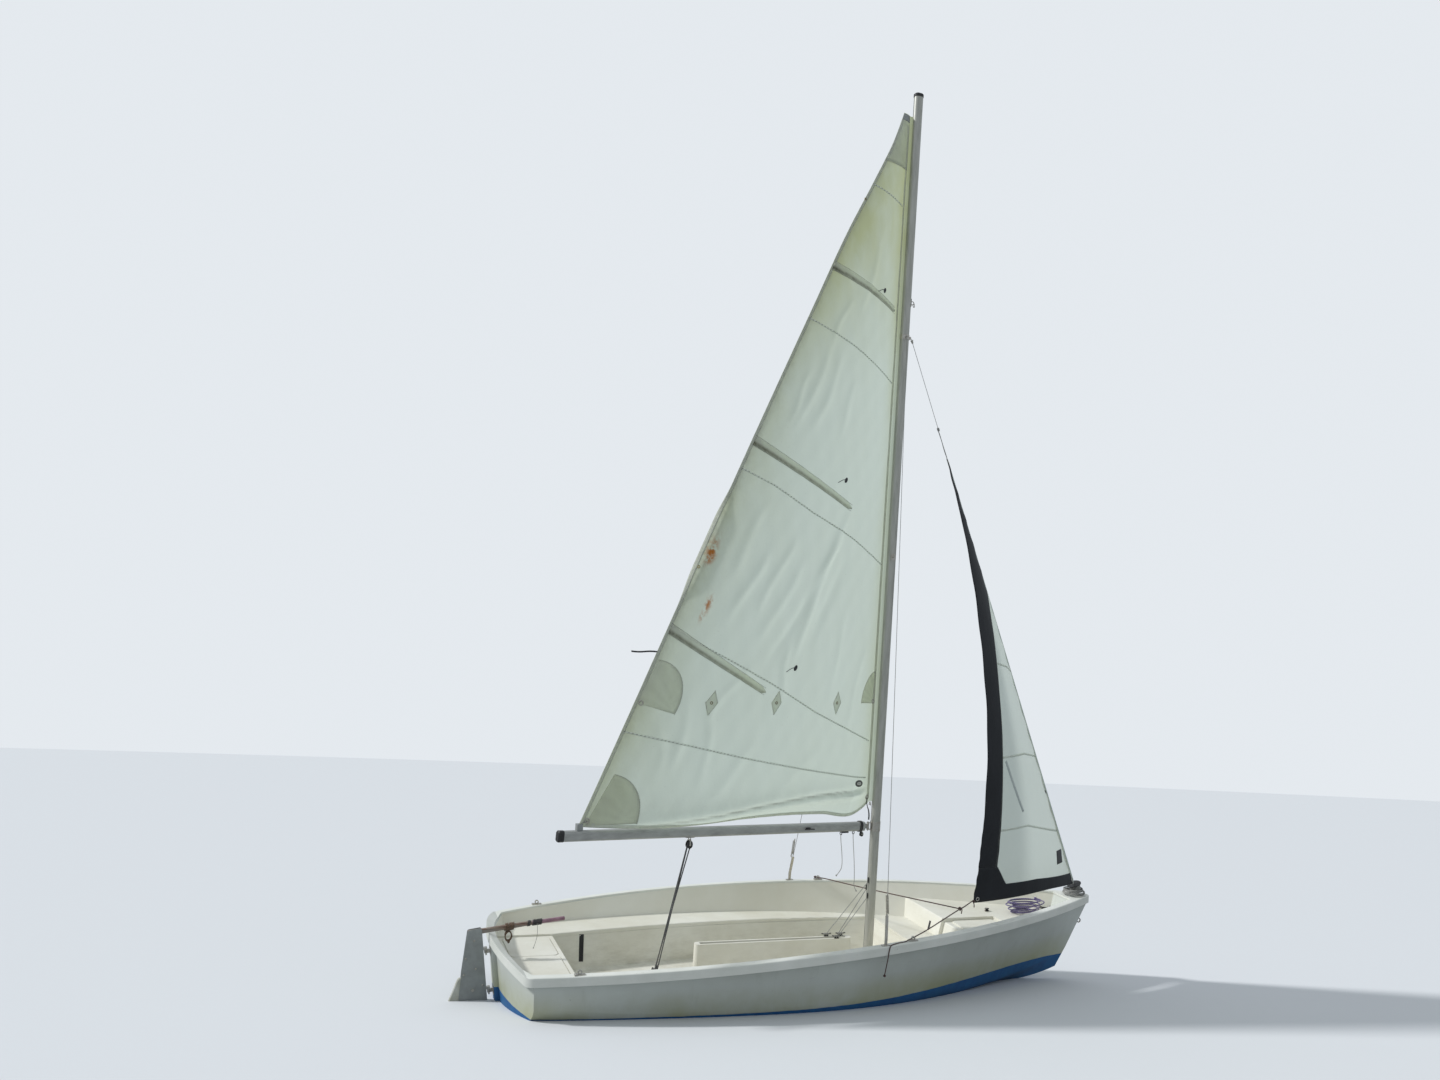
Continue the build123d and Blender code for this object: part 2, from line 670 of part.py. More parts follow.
with BuildPart() as furler:
    drum = Plane(origin=STAY_FOOT - STAY_UP * (DRUM_H + FIT), z_dir=STAY_UP)
    with BuildSketch(drum):
        Circle(DRUM_R)
    extrude(amount=DRUM_FLANGE)
    with BuildSketch(drum.offset(DRUM_H - DRUM_FLANGE)):
        Circle(DRUM_R)
    extrude(amount=DRUM_FLANGE)
    with BuildSketch(drum):
        Circle(DRUM_R * DRUM_CORE)
    extrude(amount=DRUM_H)
save(furler, "furler")

with BuildPart() as stem_fitting:
    lug_x = drum.origin.X + 4
    lug_z = sheer_z(lug_x)
    with Locations((lug_x, 0, lug_z)):
        Box(90, 34, 16)
    add(under_sheer(-FIT, 200), mode=Mode.SUBTRACT)
    with BuildSketch(Plane.XZ.offset(-3)):
        with BuildLine():
            Polyline((lug_x - 22, lug_z + 5), (lug_x + 22, lug_z + 5), (drum.origin.X + 8, drum.origin.Z - 4),
                     (drum.origin.X - 8, drum.origin.Z - 4), close=True)
        make_face()
    extrude(amount=6)
save(stem_fitting, "stem_fitting")


def leaf(table, luff, camber, thick, stand_off=0.0):
    """A thin curved sail: table rows are height, chord and the chord's angle off the centreline."""
    with BuildPart() as cloth:
        for z, chord, out in table:
            clear = stand_off + thick / 2 * sin(out) if stand_off else 0
            start = Vector(luff(z) - clear, 0)
            ahead = Vector(-cos(out), -sin(out))
            lee = Vector(-sin(out), cos(out)) * -1
            end = start + ahead * chord
            middle = start + ahead * (chord / 2)
            belly = camber * chord
            with BuildSketch(Plane.XY.offset(z)):
                with BuildLine():
                    half = lee * (thick / 2)
                    ThreePointArc(start + half, middle + lee * belly + half, end + half)
                    ThreePointArc(start - half, middle + lee * belly - half, end - half)
                    Line(start + half, start - half)
                    Line(end + half, end - half)
                make_face()
        loft()
    return cloth.part


with BuildPart() as mainsail:
    add(leaf(MAIN, lambda z: AXIS_X, CAMBER, SAIL_T))
save(mainsail, "mainsail")


def stay_x(z):
    share = (z - STAY_FOOT.Z) / (STAY_HEAD.Z - STAY_FOOT.Z)
    return STAY_FOOT.X + share * (STAY_HEAD.X - STAY_FOOT.X)


with BuildPart() as jib:
    add(leaf(JIB, lambda z: stay_x(z), CAMBER, SAIL_T, STAY_D * 0.54 + FIT))
save(jib, "jib")

# Boom and gooseneck
AXIS = Vector(AXIS_X, 0, BOOM_Z)
ALONG = Vector(-cos(BOOM_OUT) * cos(BOOM_RISE), -sin(BOOM_OUT) * cos(BOOM_RISE), sin(BOOM_RISE))
ACROSS = Vector(sin(BOOM_OUT), -cos(BOOM_OUT), 0)

with BuildPart() as gooseneck_bracket:
    add(mast_band(BOOM_Z - LUG_GAP / 2 - 14, LUG_GAP + 28, BAND_T))
    add(slab((MAST_AFT - 1, MAST_AFT + 30), (-3, 3), (BOOM_Z - 60, BOOM_Z + 60)), mode=Mode.SUBTRACT)
    for z in (BOOM_Z - LUG_GAP / 2 - LUG_T, BOOM_Z + LUG_GAP / 2):
        with BuildSketch(Plane.XY.offset(z)):
            with Locations((AXIS_X, 0)):
                Circle(LUG_HALF)
            with Locations(((AXIS_X + MAST_AFT - 1) / 2, 0)):
                Rectangle(MAST_AFT - 1 - AXIS_X, 2 * LUG_HALF)
            with Locations((AXIS_X, 0)):
                Circle(PIN_NECK + PIN_CLEAR, mode=Mode.SUBTRACT)
        extrude(amount=LUG_T)
save(gooseneck_bracket, "gooseneck_bracket")

with BuildPart() as gooseneck_toggle:
    with BuildSketch(Plane.XY.offset(BOOM_Z - LUG_GAP / 2 + 1)):
        with Locations((AXIS_X, 0)):
            Circle(10)
    extrude(amount=LUG_GAP - 2)
    with BuildSketch(Plane.XY.offset(BOOM_Z - LUG_GAP / 2 - 12)):
        with Locations((AXIS_X, 0)):
            Circle(PIN_NECK)
    extrude(amount=LUG_GAP + 24)
    with BuildSketch(Plane(origin=AXIS, x_dir=ACROSS, z_dir=ALONG)):
        Rectangle(14, LUG_GAP - 12)
    extrude(amount=BOOM_GAP - FIT)
save(gooseneck_toggle, "gooseneck_toggle")

with BuildPart() as boom:
    with BuildSketch(Plane(origin=AXIS + ALONG * BOOM_GAP, x_dir=ACROSS, z_dir=ALONG)):
        RectangleRounded(BOOM_WIDE, BOOM_DEEP, 18)
        for edge in (1, -1):
            with Locations((0, edge * (BOOM_DEEP / 2 - 8))):
                Circle(6, mode=Mode.SUBTRACT)
                Rectangle(4, 20, mode=Mode.SUBTRACT)
    extrude(amount=BOOM_L - BOOM_GAP)
save(boom, "boom")

with BuildPart() as boom_end_cap:
    with BuildSketch(Plane(origin=AXIS + ALONG * (BOOM_L + FIT), x_dir=ACROSS, z_dir=ALONG)):
        RectangleRounded(BOOM_WIDE + 4, BOOM_DEEP + 4, 19)
    extrude(amount=40)
    chamfer(boom_end_cap.faces().sort_by(Axis.X)[0].edges(), 7)
save(boom_end_cap, "boom_end_cap")

# Slide that ties the sail's lower corner to the boom
with BuildPart() as clew_slide:
    seat = AXIS + ALONG * CLEW_AT
    low = seat.Z + BOOM_DEEP / 2 / cos(BOOM_RISE) + SLIDE_L / 2 * sin(BOOM_RISE) + FIT
    chord = Vector(-cos(BOOM_OUT), -sin(BOOM_OUT), 0)
    with BuildSketch(Plane(origin=(seat.X, seat.Y, low), x_dir=chord, z_dir=(0, 0, 1))):
        Rectangle(SLIDE_L, SLIDE_W)
    extrude(amount=MAIN[0][0] - FIT - low)
    fillet(clew_slide.edges().filter_by(Axis.Z), 5)
save(clew_slide, "clew_slide")

# Rudder
TRANSOM_X = CORNER_X - BULGE + OVERHANG - (PINTLE_Z - STERN_SHEER - CROWN) * tan(RAKE)
LEAN = Plane(origin=(TRANSOM_X - PAD_T - PINTLE_AFT, 0, PINTLE_Z), x_dir=(cos(RAKE), 0, sin(RAKE)),
             z_dir=(0, -1, 0))
AXIS_UP = (-sin(RAKE), 0, cos(RAKE))


def on_lean(t, s=0):
    """A plane square to the pintle axis, at height t and s forward of the axis."""
    return Plane(origin=LEAN.from_local_coords(Vector(s, t, 0)), x_dir=(cos(RAKE), 0, sin(RAKE)),
                 z_dir=AXIS_UP)


with BuildPart() as sternpost_pad:
    with BuildSketch(on_lean(PAD_FOOT)):
        with Locations((PINTLE_AFT + PAD_T, 0)):
            RectangleRounded(2 * PAD_T, 2 * PAD_HALF, 10)
    extrude(amount=PAD_HEAD - PAD_FOOT)
    add(past_transom(OVERHANG - FIT), mode=Mode.SUBTRACT)
save(sternpost_pad, "sternpost_pad")

for t, name in ((GUDGEON_HIGH, "gudgeon_upper"), (GUDGEON_LOW, "gudgeon_lower")):
    with BuildPart() as gudgeon:
        with BuildSketch(on_lean(t)):
            Circle(11)
            with Locations(((PINTLE_AFT - FIT) / 2, 0)):
                Rectangle(PINTLE_AFT - FIT, 14)
            Circle(PIN_NECK + PIN_CLEAR, mode=Mode.SUBTRACT)
        extrude(amount=GUDGEON_H)
        with BuildSketch(on_lean(t - 18)):
            with Locations((PINTLE_AFT - FIT - 1.5, 0)):
                Rectangle(3, 56)
        extrude(amount=GUDGEON_H + 36)
    save(gudgeon, name)

CHEEK_IN = BLADE_T / 2 + 1
with BuildPart() as rudder_head:
    for side in (1, -1):
        with BuildSketch(LEAN.offset(CHEEK_IN if side > 0 else -CHEEK_IN - CHEEK_T)) as cheek:
            Polygon(*CHEEK, align=None)
            fillet(cheek.vertices(), 14)
            with Locations(BLADE_PIN):
                Circle(PIN_NECK, mode=Mode.SUBTRACT)
        extrude(amount=CHEEK_T)
    with BuildSketch(LEAN.offset(-CHEEK_IN)):
        Polygon((CHEEK_FRONT, TILLER_T - 2), (-108, TILLER_T - FIT), (-154, SPACER_FOOT),
                (CHEEK_FRONT, SPACER_FOOT), align=None)
    extrude(amount=2 * CHEEK_IN)
save(rudder_head, "rudder_head")

for t, name in ((GUDGEON_HIGH, "pintle_upper"), (GUDGEON_LOW, "pintle_lower")):
    with BuildPart() as pintle:
        with BuildSketch(on_lean(t + GUDGEON_H + 1)):
            with Locations(((CHEEK_FRONT + FIT + 9) / 2, 0)):
                Rectangle(9 - CHEEK_FRONT - FIT, 28)
        extrude(amount=16)
        with BuildSketch(on_lean(t - 14)):
            Circle(PIN_NECK)
        extrude(amount=GUDGEON_H + 20)
    save(pintle, name)

with BuildPart() as rudder_blade:
    with BuildSketch(LEAN.offset(-BLADE_T / 2)) as blade:
        Polygon(*BLADE, align=None)
        fillet(blade.vertices().sort_by(Axis.Y)[:2], 60)
        fillet(blade.vertices().sort_by(Axis.Y)[-3:], 24)
        with Locations(BLADE_PIN):
            Circle(PIN_NECK + PIN_CLEAR, mode=Mode.SUBTRACT)
    extrude(amount=BLADE_T)
    chamfer(rudder_blade.edges().filter_by(lambda e: e.length > 400), BLADE_EDGE)
save(rudder_blade, "rudder_blade")

with BuildPart() as rudder_bolt:
    bolt = LEAN.shift_origin(LEAN.from_local_coords(Vector(*BLADE_PIN, 0)))
    with BuildSketch(bolt.offset(-CHEEK_IN - CHEEK_T - FIT)):
        Circle(PIN_NECK - 0.02)
    extrude(amount=2 * (CHEEK_IN + CHEEK_T + FIT))
    for start in (-CHEEK_IN - CHEEK_T - FIT - 5, CHEEK_IN + CHEEK_T + FIT):
        with BuildSketch(bolt.offset(start)):
            RegularPolygon(10, 6)
        extrude(amount=5)
save(rudder_bolt, "rudder_bolt")

with BuildPart() as tiller:
    with BuildSketch(LEAN.offset(-TILLER_W / 2)):
        Polygon((-110, TILLER_T), (-110, TILLER_T + 34), (TILLER_JOINT, TILLER_T + 34 - TILLER_DIP),
                (TILLER_JOINT, TILLER_T + 8 - TILLER_DIP), align=None)
    extrude(amount=TILLER_W)
    fillet(tiller.edges().filter_by(lambda e: e.length > 200), 5)
save(tiller, "tiller")

with BuildPart() as tiller_grip:
    start = LEAN.from_local_coords(Vector(TILLER_JOINT + 3 * FIT, TILLER_T + 21 - TILLER_DIP, 0))
    end = LEAN.from_local_coords(Vector(TILLER_END, TILLER_T + 21 - TILLER_DIP * 1.7, 0))
    add(wire(start, end, GRIP_D))
    fillet(tiller_grip.faces().sort_by(Axis.X)[-1].edges(), 8)
save(tiller_grip, "tiller_grip")

# Small fittings on the rail
for x, title in ((FAIRLEAD_X, "stern_fairlead"), (LEAD_X, "jib_lead")):
    for side, name in ((1, "port"), (-1, "starboard")):
        base_z = sheer_z(x)
        with BuildPart() as fitting:
            with Locations((x, side * (half_beam(x) - RAIL_W / 2), base_z)):
                Box(70, 26, 16)
            add(under_sheer(-FIT, 200), mode=Mode.SUBTRACT)
            with BuildSketch(Plane(origin=(x, side * (half_beam(x) - RAIL_W / 2) + 5, base_z + 7),
                                   x_dir=(1, 0, 0), z_dir=(0, -1, 0))):
                with Locations((0, 12)):
                    Circle(15)
                    Circle(8, mode=Mode.SUBTRACT)
            extrude(amount=10)
        save(fitting, f"{title}_{name}")

STEM_FOOT = Vector(station(SECTIONS[-1][0]), 0, SECTIONS[-1][1])
STEM_HEAD = Vector(station(SECTIONS[-1][2]), 0, sheer_z(station(SECTIONS[-1][2])))
STEM_UP = (STEM_HEAD - STEM_FOOT).normalized()
STEM_AHEAD = Vector(STEM_UP.Z, 0, -STEM_UP.X)
with BuildPart() as bow_eye:
    eye = STEM_FOOT + STEM_UP * ((EYE_Z - STEM_FOOT.Z) / STEM_UP.Z) + STEM_AHEAD * EYE_OUT
    print("bow eye's middle", tuple(round(v, 2) for v in eye))
    with BuildSketch(Plane(origin=eye + Vector(0, EYE_RING / 2, 0), z_dir=(0, -1, 0), x_dir=(1, 0, 0))):
        Circle(EYE_R + EYE_RING)
        Circle(EYE_R, mode=Mode.SUBTRACT)
    extrude(amount=EYE_RING)
    with BuildSketch(Plane(origin=STEM_FOOT + STEM_AHEAD * FIT, z_dir=STEM_AHEAD)):
        Rectangle(2000, 400)
    extrude(amount=-600, mode=Mode.SUBTRACT)
save(bow_eye, "bow_eye")
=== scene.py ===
# %% [markdown]
# # A weathered sailing dinghy under full sail
# The hull, spars and fittings come from the CAD model, which is loaded first and never moved.
# This script gives them their finishes and adds what CAD leaves plain: the sewn sails, the ropes, the small
# fittings, the marks that weather leaves on a hard-worked boat, and a little painted light and shade.

# %% The frame
import bpy, math, random
import numpy as np
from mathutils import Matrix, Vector


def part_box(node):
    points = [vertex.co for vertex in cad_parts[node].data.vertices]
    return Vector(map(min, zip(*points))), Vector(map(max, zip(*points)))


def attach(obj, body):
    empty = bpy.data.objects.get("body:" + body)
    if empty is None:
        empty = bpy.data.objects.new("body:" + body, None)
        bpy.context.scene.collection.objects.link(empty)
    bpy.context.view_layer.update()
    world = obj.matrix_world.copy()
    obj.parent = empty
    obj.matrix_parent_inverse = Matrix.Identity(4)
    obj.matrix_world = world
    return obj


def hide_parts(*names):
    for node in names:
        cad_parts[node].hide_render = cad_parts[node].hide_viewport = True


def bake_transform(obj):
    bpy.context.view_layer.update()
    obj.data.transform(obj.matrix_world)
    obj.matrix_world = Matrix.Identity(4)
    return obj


def short(values):
    """Numbers rounded for printing."""
    return [round(float(v), 3) for v in values]


def box_of(name):
    """The low and the high corner of a CAD node."""
    return [Vector(corner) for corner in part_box(name)]


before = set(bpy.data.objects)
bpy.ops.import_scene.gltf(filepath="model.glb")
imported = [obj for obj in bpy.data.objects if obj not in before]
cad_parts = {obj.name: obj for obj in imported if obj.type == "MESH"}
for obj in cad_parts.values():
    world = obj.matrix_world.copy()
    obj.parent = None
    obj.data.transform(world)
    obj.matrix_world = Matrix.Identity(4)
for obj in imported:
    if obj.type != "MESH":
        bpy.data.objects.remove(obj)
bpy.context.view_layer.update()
scene = bpy.context.scene
scene.view_settings.view_transform = "Standard"

# %% [markdown]
# ## The camera
# The photograph was taken from a little above deck height, well aft of the beam. The place and
# the lens were solved from points of the boat that show in it, so the camera is set first and
# everything else is judged through it.

# %% Camera
eye = (-3.682, -7.718, 2.939)
eye_turn = (92.696, -3.8385, -19.6576)
camera_data = bpy.data.cameras.new("camera")
camera_data.lens = 27.42
camera_data.sensor_width = 36
camera = bpy.data.objects.new("camera", camera_data)
camera.location = eye
camera.rotation_euler = [math.radians(a) for a in eye_turn]
scene.collection.objects.link(camera)
scene.camera = camera
print("camera", tuple(round(v, 2) for v in camera.location), "lens", camera_data.lens)

# %% [markdown]
# ## Nodes for finishes
# Every finish below is a small tree of nodes: a pattern made from the place on the object, a
# colour mixed by that pattern, and a bump from it. The CAD objects all sit at the origin, so
# Object coordinates are metres in the boat's own frame. That lets a finish know where the
# waterline is, or how far below the rail a streak has run.

# %% Node helpers
def new_finish(name, colour, rough, metal=0.0):
    """A material with one Principled shader, and its node tree."""
    material = bpy.data.materials.new(name)
    material.use_nodes = True
    shader = material.node_tree.nodes["Principled BSDF"]
    shader.inputs["Base Color"].default_value = (*colour, 1)
    shader.inputs["Roughness"].default_value = rough
    shader.inputs["Metallic"].default_value = metal
    return material, material.node_tree, shader


def set_input(tree, socket, value):
    """Links a node's output to a socket, or writes a plain number or colour there."""
    if isinstance(value, bpy.types.NodeSocket):
        tree.links.new(value, socket)
    elif isinstance(value, (tuple, list)) and socket.type == "RGBA":
        socket.default_value = (*value[:3], 1)
    else:
        socket.default_value = value


def colour_with(tree, shader, colour):
    """Gives a shader its base colour, a value or a node's output."""
    set_input(tree, shader.inputs["Base Color"], colour)


def place(tree, stretch=(1, 1, 1), turn=(0, 0, 0)):
    """The place on the object in metres, stretched or turned."""
    here = tree.nodes.new("ShaderNodeTexCoord").outputs["Object"]
    mapping = tree.nodes.new("ShaderNodeMapping")
    mapping.inputs["Scale"].default_value = stretch
    mapping.inputs["Rotation"].default_value = [math.radians(a) for a in turn]
    tree.links.new(here, mapping.inputs["Vector"])
    return mapping.outputs["Vector"]


def height_of(tree, axis="Z"):
    split = tree.nodes.new("ShaderNodeSeparateXYZ")
    tree.links.new(tree.nodes.new("ShaderNodeTexCoord").outputs["Object"], split.inputs[0])
    return split.outputs[axis]


def noise(tree, where, scale, detail=4.0, rough=0.6):
    cloud = tree.nodes.new("ShaderNodeTexNoise")
    cloud.inputs["Scale"].default_value = scale
    cloud.inputs["Detail"].default_value = detail
    cloud.inputs["Roughness"].default_value = rough
    tree.links.new(where, cloud.inputs["Vector"])
    return cloud.outputs["Fac"]


def between(tree, value, low, high, low_out=0.0, high_out=1.0):
    """Maps value from low..high to low_out..high_out, and holds it there beyond the ends."""
    change = tree.nodes.new("ShaderNodeMapRange")
    for socket, number in zip(change.inputs[:5], (value, low, high, low_out, high_out)):
        set_input(tree, socket, number)
    return change.outputs[0]


def maths(tree, kind, a, b=0.0):
    node = tree.nodes.new("ShaderNodeMath")
    node.operation = kind
    set_input(tree, node.inputs[0], a)
    set_input(tree, node.inputs[1], b)
    return node.outputs[0]


def blend_colour(tree, share, a, b, kind="MIX"):
    mix = tree.nodes.new("ShaderNodeMix")
    mix.data_type = "RGBA"
    mix.blend_type = kind
    set_input(tree, mix.inputs[0], share)
    set_input(tree, mix.inputs[6], a)
    set_input(tree, mix.inputs[7], b)
    return mix.outputs[2]


def two_tones(tree, shader, pattern, low, high, first, second, most=1.0):
    """Colours a shader with two tones, the second where a pattern is high."""
    colour_with(tree, shader, blend_colour(tree, between(tree, pattern, low, high, 0, most), first, second))


def raise_surface(tree, shader, height, distance, strength=1.0, under=None):
    """Bump from a height pattern; distance is in metres."""
    node = tree.nodes.new("ShaderNodeBump")
    node.inputs["Distance"].default_value = distance
    node.inputs["Strength"].default_value = strength
    tree.links.new(height, node.inputs["Height"])
    if under:
        tree.links.new(under, node.inputs["Normal"])
    tree.links.new(node.outputs[0], shader.inputs["Normal"])
    return node.outputs[0]


print("node helpers ready")

# %% [markdown]
# ## Gelcoat outside
# The outside of the hull is white gelcoat that has gone dull. It yellows low down, where it
# stays wet, it is scuffed grey where other boats come alongside, and rain draws faint streaks
# down from the rail. Below the waterline it is painted mid blue. The paint's edge is a height,
# so one finish does both, with the edge moved a few millimetres by noise as a brush leaves it.

# %% Hull finish
PAINT_TOP = 0.134
GELCOAT = (0.64, 0.68, 0.64)
BOTTOM_BLUE = (0.012, 0.105, 0.31)

hull_finish, tree, shader = new_finish("hull_gelcoat_worn_lit_inside", GELCOAT, 0.34)
shader.inputs["Coat Weight"].default_value = 0.15
height = height_of(tree)
broad = noise(tree, place(tree), 1.6, 5)
streaks = noise(tree, place(tree, (14, 14, 1.1)), 1.0, 6, 0.7)
fine = noise(tree, place(tree), 160, 3)
white = blend_colour(tree, between(tree, broad, 0.35, 0.7), GELCOAT, (0.55, 0.575, 0.53))
white = blend_colour(tree, between(tree, streaks, 0.56, 0.8, 0, 0.30), white, (0.36, 0.37, 0.31))
low_down = maths(tree, "MULTIPLY", between(tree, height, 0.34, 0.12), between(tree, broad, 0.3, 0.62))
white = blend_colour(tree, maths(tree, "MULTIPLY", low_down, 0.8), white, (0.42, 0.43, 0.19))
scuffs = noise(tree, place(tree, (1.4, 1.4, 26)), 2.2, 7, 0.72)
near_rail = between(tree, height, 0.24, 0.40)
scuff_share = maths(tree, "MULTIPLY", between(tree, scuffs, 0.63, 0.72, 0, 0.55), near_rail)
white = blend_colour(tree, scuff_share, white, (0.25, 0.26, 0.25))
pits = between(tree, noise(tree, place(tree), 34, 2), 0.74, 0.8)
white = blend_colour(tree, maths(tree, "MULTIPLY", pits, 0.5), white, (0.22, 0.20, 0.15))
blue = blend_colour(tree, between(tree, streaks, 0.35, 0.75), BOTTOM_BLUE, (0.02, 0.16, 0.38))
growth = maths(tree, "MULTIPLY", between(tree, height, PAINT_TOP, -0.05), between(tree, broad, 0.4, 0.6))
blue = blend_colour(tree, maths(tree, "MULTIPLY", growth, 0.55), blue, (0.03, 0.075, 0.07))
edge = maths(tree, "ADD", height, between(tree, noise(tree, place(tree), 9, 3), 0, 1, -0.004, 0.004))
above = between(tree, edge, PAINT_TOP - 0.001, PAINT_TOP + 0.001)
# Faces of the shell that look inward take a creamier tone, like the inside moulding, lighter than the gelcoat
# outside: partly the inside's own colour, partly painted light on the inner wall, which the sun does not reach.
facing_in = tree.nodes.new("ShaderNodeSeparateXYZ")
tree.links.new(tree.nodes.new("ShaderNodeTexCoord").outputs["Normal"], facing_in.inputs[0])
inward = maths(tree, "MULTIPLY", facing_in.outputs["Y"], height_of(tree, "Y"))
inner = between(tree, inward, -0.02, -0.12)
inner_tone = blend_colour(tree, between(tree, broad, 0.35, 0.7), (0.82, 0.81, 0.73), (0.74, 0.72, 0.62))
white = blend_colour(tree, inner, white, inner_tone)
colour_with(tree, shader, blend_colour(tree, above, blue, white))
dull = between(tree, broad, 0.3, 0.75, 0.30, 0.52)
set_input(tree, shader.inputs["Roughness"], maths(tree, "ADD", dull, between(tree, above, 0, 1, 0.22, 0)))
raise_surface(tree, shader, maths(tree, "ADD", fine, maths(tree, "MULTIPLY", above, 1.5)), 0.0004, 0.5)
print("hull finish, paint edge at", PAINT_TOP)

# %% [markdown]
# ## The rail and the inside
# The rail is the same gelcoat in a lighter tone, with short dark rubs along its edge.
# Inside, the moulding is creamier, with grey tread marks in the low places. A grip pattern of
# small raised dots is moulded into the benches, which only shows close by, so it is bump and not
# mesh.

# %% Rail and inside finishes
rail_finish, tree, shader = new_finish("rail_gelcoat_worn", (0.74, 0.75, 0.68), 0.38)
broad = noise(tree, place(tree), 3.0, 5)
rubs = noise(tree, place(tree, (3, 3, 60)), 5, 6, 0.75)
rail_white = blend_colour(tree, between(tree, broad, 0.35, 0.7), (0.80, 0.81, 0.76), (0.68, 0.70, 0.64))
rail_white = blend_colour(tree, between(tree, rubs, 0.62, 0.74, 0, 0.5), rail_white, (0.30, 0.30, 0.27))
chips = between(tree, noise(tree, place(tree), 48, 2), 0.76, 0.79)
rail_white = blend_colour(tree, chips, rail_white, (0.17, 0.15, 0.11))
colour_with(tree, shader, rail_white)
set_input(tree, shader.inputs["Roughness"], between(tree, rubs, 0.3, 0.7, 0.32, 0.6))
raise_surface(tree, shader, noise(tree, place(tree), 90, 4), 0.0006, 0.4)

inside_finish, tree, shader = new_finish("inside_gelcoat_worn", (0.66, 0.63, 0.53), 0.5)
broad = noise(tree, place(tree), 2.4, 6)
dirt = noise(tree, place(tree, (1, 1, 3)), 7, 7, 0.7)
cream = blend_colour(tree, between(tree, broad, 0.35, 0.7), (0.80, 0.79, 0.71), (0.70, 0.68, 0.58))
low = between(tree, height_of(tree), 0.30, 0.07)
dirt_share = maths(tree, "MULTIPLY", between(tree, dirt, 0.42, 0.72),
                   maths(tree, "ADD", maths(tree, "MULTIPLY", low, 0.35), 0.08))
cream = blend_colour(tree, dirt_share, cream, (0.34, 0.31, 0.23))
colour_with(tree, shader, cream)
set_input(tree, shader.inputs["Roughness"], between(tree, dirt, 0.3, 0.7, 0.42, 0.7))
dots = tree.nodes.new("ShaderNodeTexVoronoi")
dots.inputs["Scale"].default_value = 110
dots.inputs["Randomness"].default_value = 0.0
tree.links.new(place(tree), dots.inputs["Vector"])
bead = between(tree, dots.outputs["Distance"], 0.15, 0.32, 1, 0)
raise_surface(tree, shader, maths(tree, "ADD", bead, noise(tree, place(tree), 60, 4)), 0.0005, 0.5)
print("rail and inside finishes")

# %% [markdown]
# ## Metal, plastic and wood
# The mast and boom are anodised aluminium that has clouded and gone chalky, with the die lines
# of extrusion along them. Stainless is duller than chrome and keeps tea-coloured stains in its
# corners. The tiller is bare timber whose varnish has gone: grey on top, reddish in the grain.

# %% Metal and plastic
def metal_finish(name, colour, dull_colour, rough, scale, metal=1.0, stretch=(1, 1, 1), cloud=0.5):
    material, tree, shader = new_finish(name, colour, rough, metal)
    clouds = noise(tree, place(tree, stretch), scale, 6, 0.65)
    share = between(tree, clouds, 0.4, 0.7, 0, cloud)
    colour_with(tree, shader, blend_colour(tree, share, colour, dull_colour))
    set_input(tree, shader.inputs["Roughness"], between(tree, clouds, 0.3, 0.7, rough - 0.08, rough + 0.18))
    raise_surface(tree, shader, noise(tree, place(tree, stretch), scale * 9, 3), 0.0003, 0.35)
    return material


spar_finish = metal_finish("spar_aluminium_worn", (0.50, 0.50, 0.46), (0.33, 0.34, 0.30), 0.42, 5,
                           0.55, (6, 6, 0.7), 0.7)
boom_finish = metal_finish("boom_aluminium_worn", (0.45, 0.46, 0.44), (0.30, 0.30, 0.29), 0.45, 5,
                           0.5, (0.7, 6, 6), 0.7)
stainless_finish = metal_finish("stainless_worn", (0.55, 0.54, 0.50), (0.26, 0.19, 0.12), 0.3, 60, 1.0,
                                cloud=0.45)
wire_finish = metal_finish("wire_worn", (0.36, 0.36, 0.35), (0.16, 0.14, 0.12), 0.4, 90)
alloy_finish = metal_finish("rudder_alloy_worn", (0.36, 0.38, 0.375), (0.25, 0.26, 0.25), 0.5, 14, 0.5)
brass_finish = metal_finish("eyelet_brass_worn", (0.30, 0.24, 0.12), (0.10, 0.13, 0.09), 0.45, 300)

plastic_finish, tree, shader = new_finish("black_plastic_worn", (0.016, 0.016, 0.017), 0.45)
scratch = noise(tree, place(tree, (1, 1, 4)), 120, 5, 0.7)
two_tones(tree, shader, scratch, 0.5, 0.8, (0.016, 0.016, 0.017), (0.07, 0.07, 0.068), 0.6)
set_input(tree, shader.inputs["Roughness"], between(tree, scratch, 0.3, 0.7, 0.36, 0.62))
raise_surface(tree, shader, noise(tree, place(tree), 400, 2), 0.0002, 0.4)
print("metal and plastic finishes")

# %% [markdown]
# The tiller's grain is noise stretched along the wood, with grey where it has weathered and some
# red left between. The boards are worn laminate with stains and dark nicks. The sleeve is faded
# foam, so it gets a sheen and a fine, rough bump.

# %% Wood, boards and grip
wood_finish, tree, shader = new_finish("tiller_wood_weathered", (0.25, 0.17, 0.12), 0.75)
rings = noise(tree, place(tree, (5, 130, 110), (0, 8.5, 0)), 1, 7, 0.65)
blotches = noise(tree, place(tree, (3, 20, 20)), 2.5, 4)
grain = blend_colour(tree, between(tree, rings, 0.36, 0.66), (0.085, 0.045, 0.032), (0.34, 0.27, 0.21))
grain = blend_colour(tree, between(tree, blotches, 0.42, 0.62, 0, 0.65), grain, (0.33, 0.31, 0.28))
red_left = between(tree, noise(tree, place(tree, (6, 60, 60)), 2, 3), 0.56, 0.66, 0, 0.6)
colour_with(tree, shader, blend_colour(tree, red_left, grain, (0.22, 0.055, 0.035)))
raise_surface(tree, shader, rings, 0.0015, 0.8)

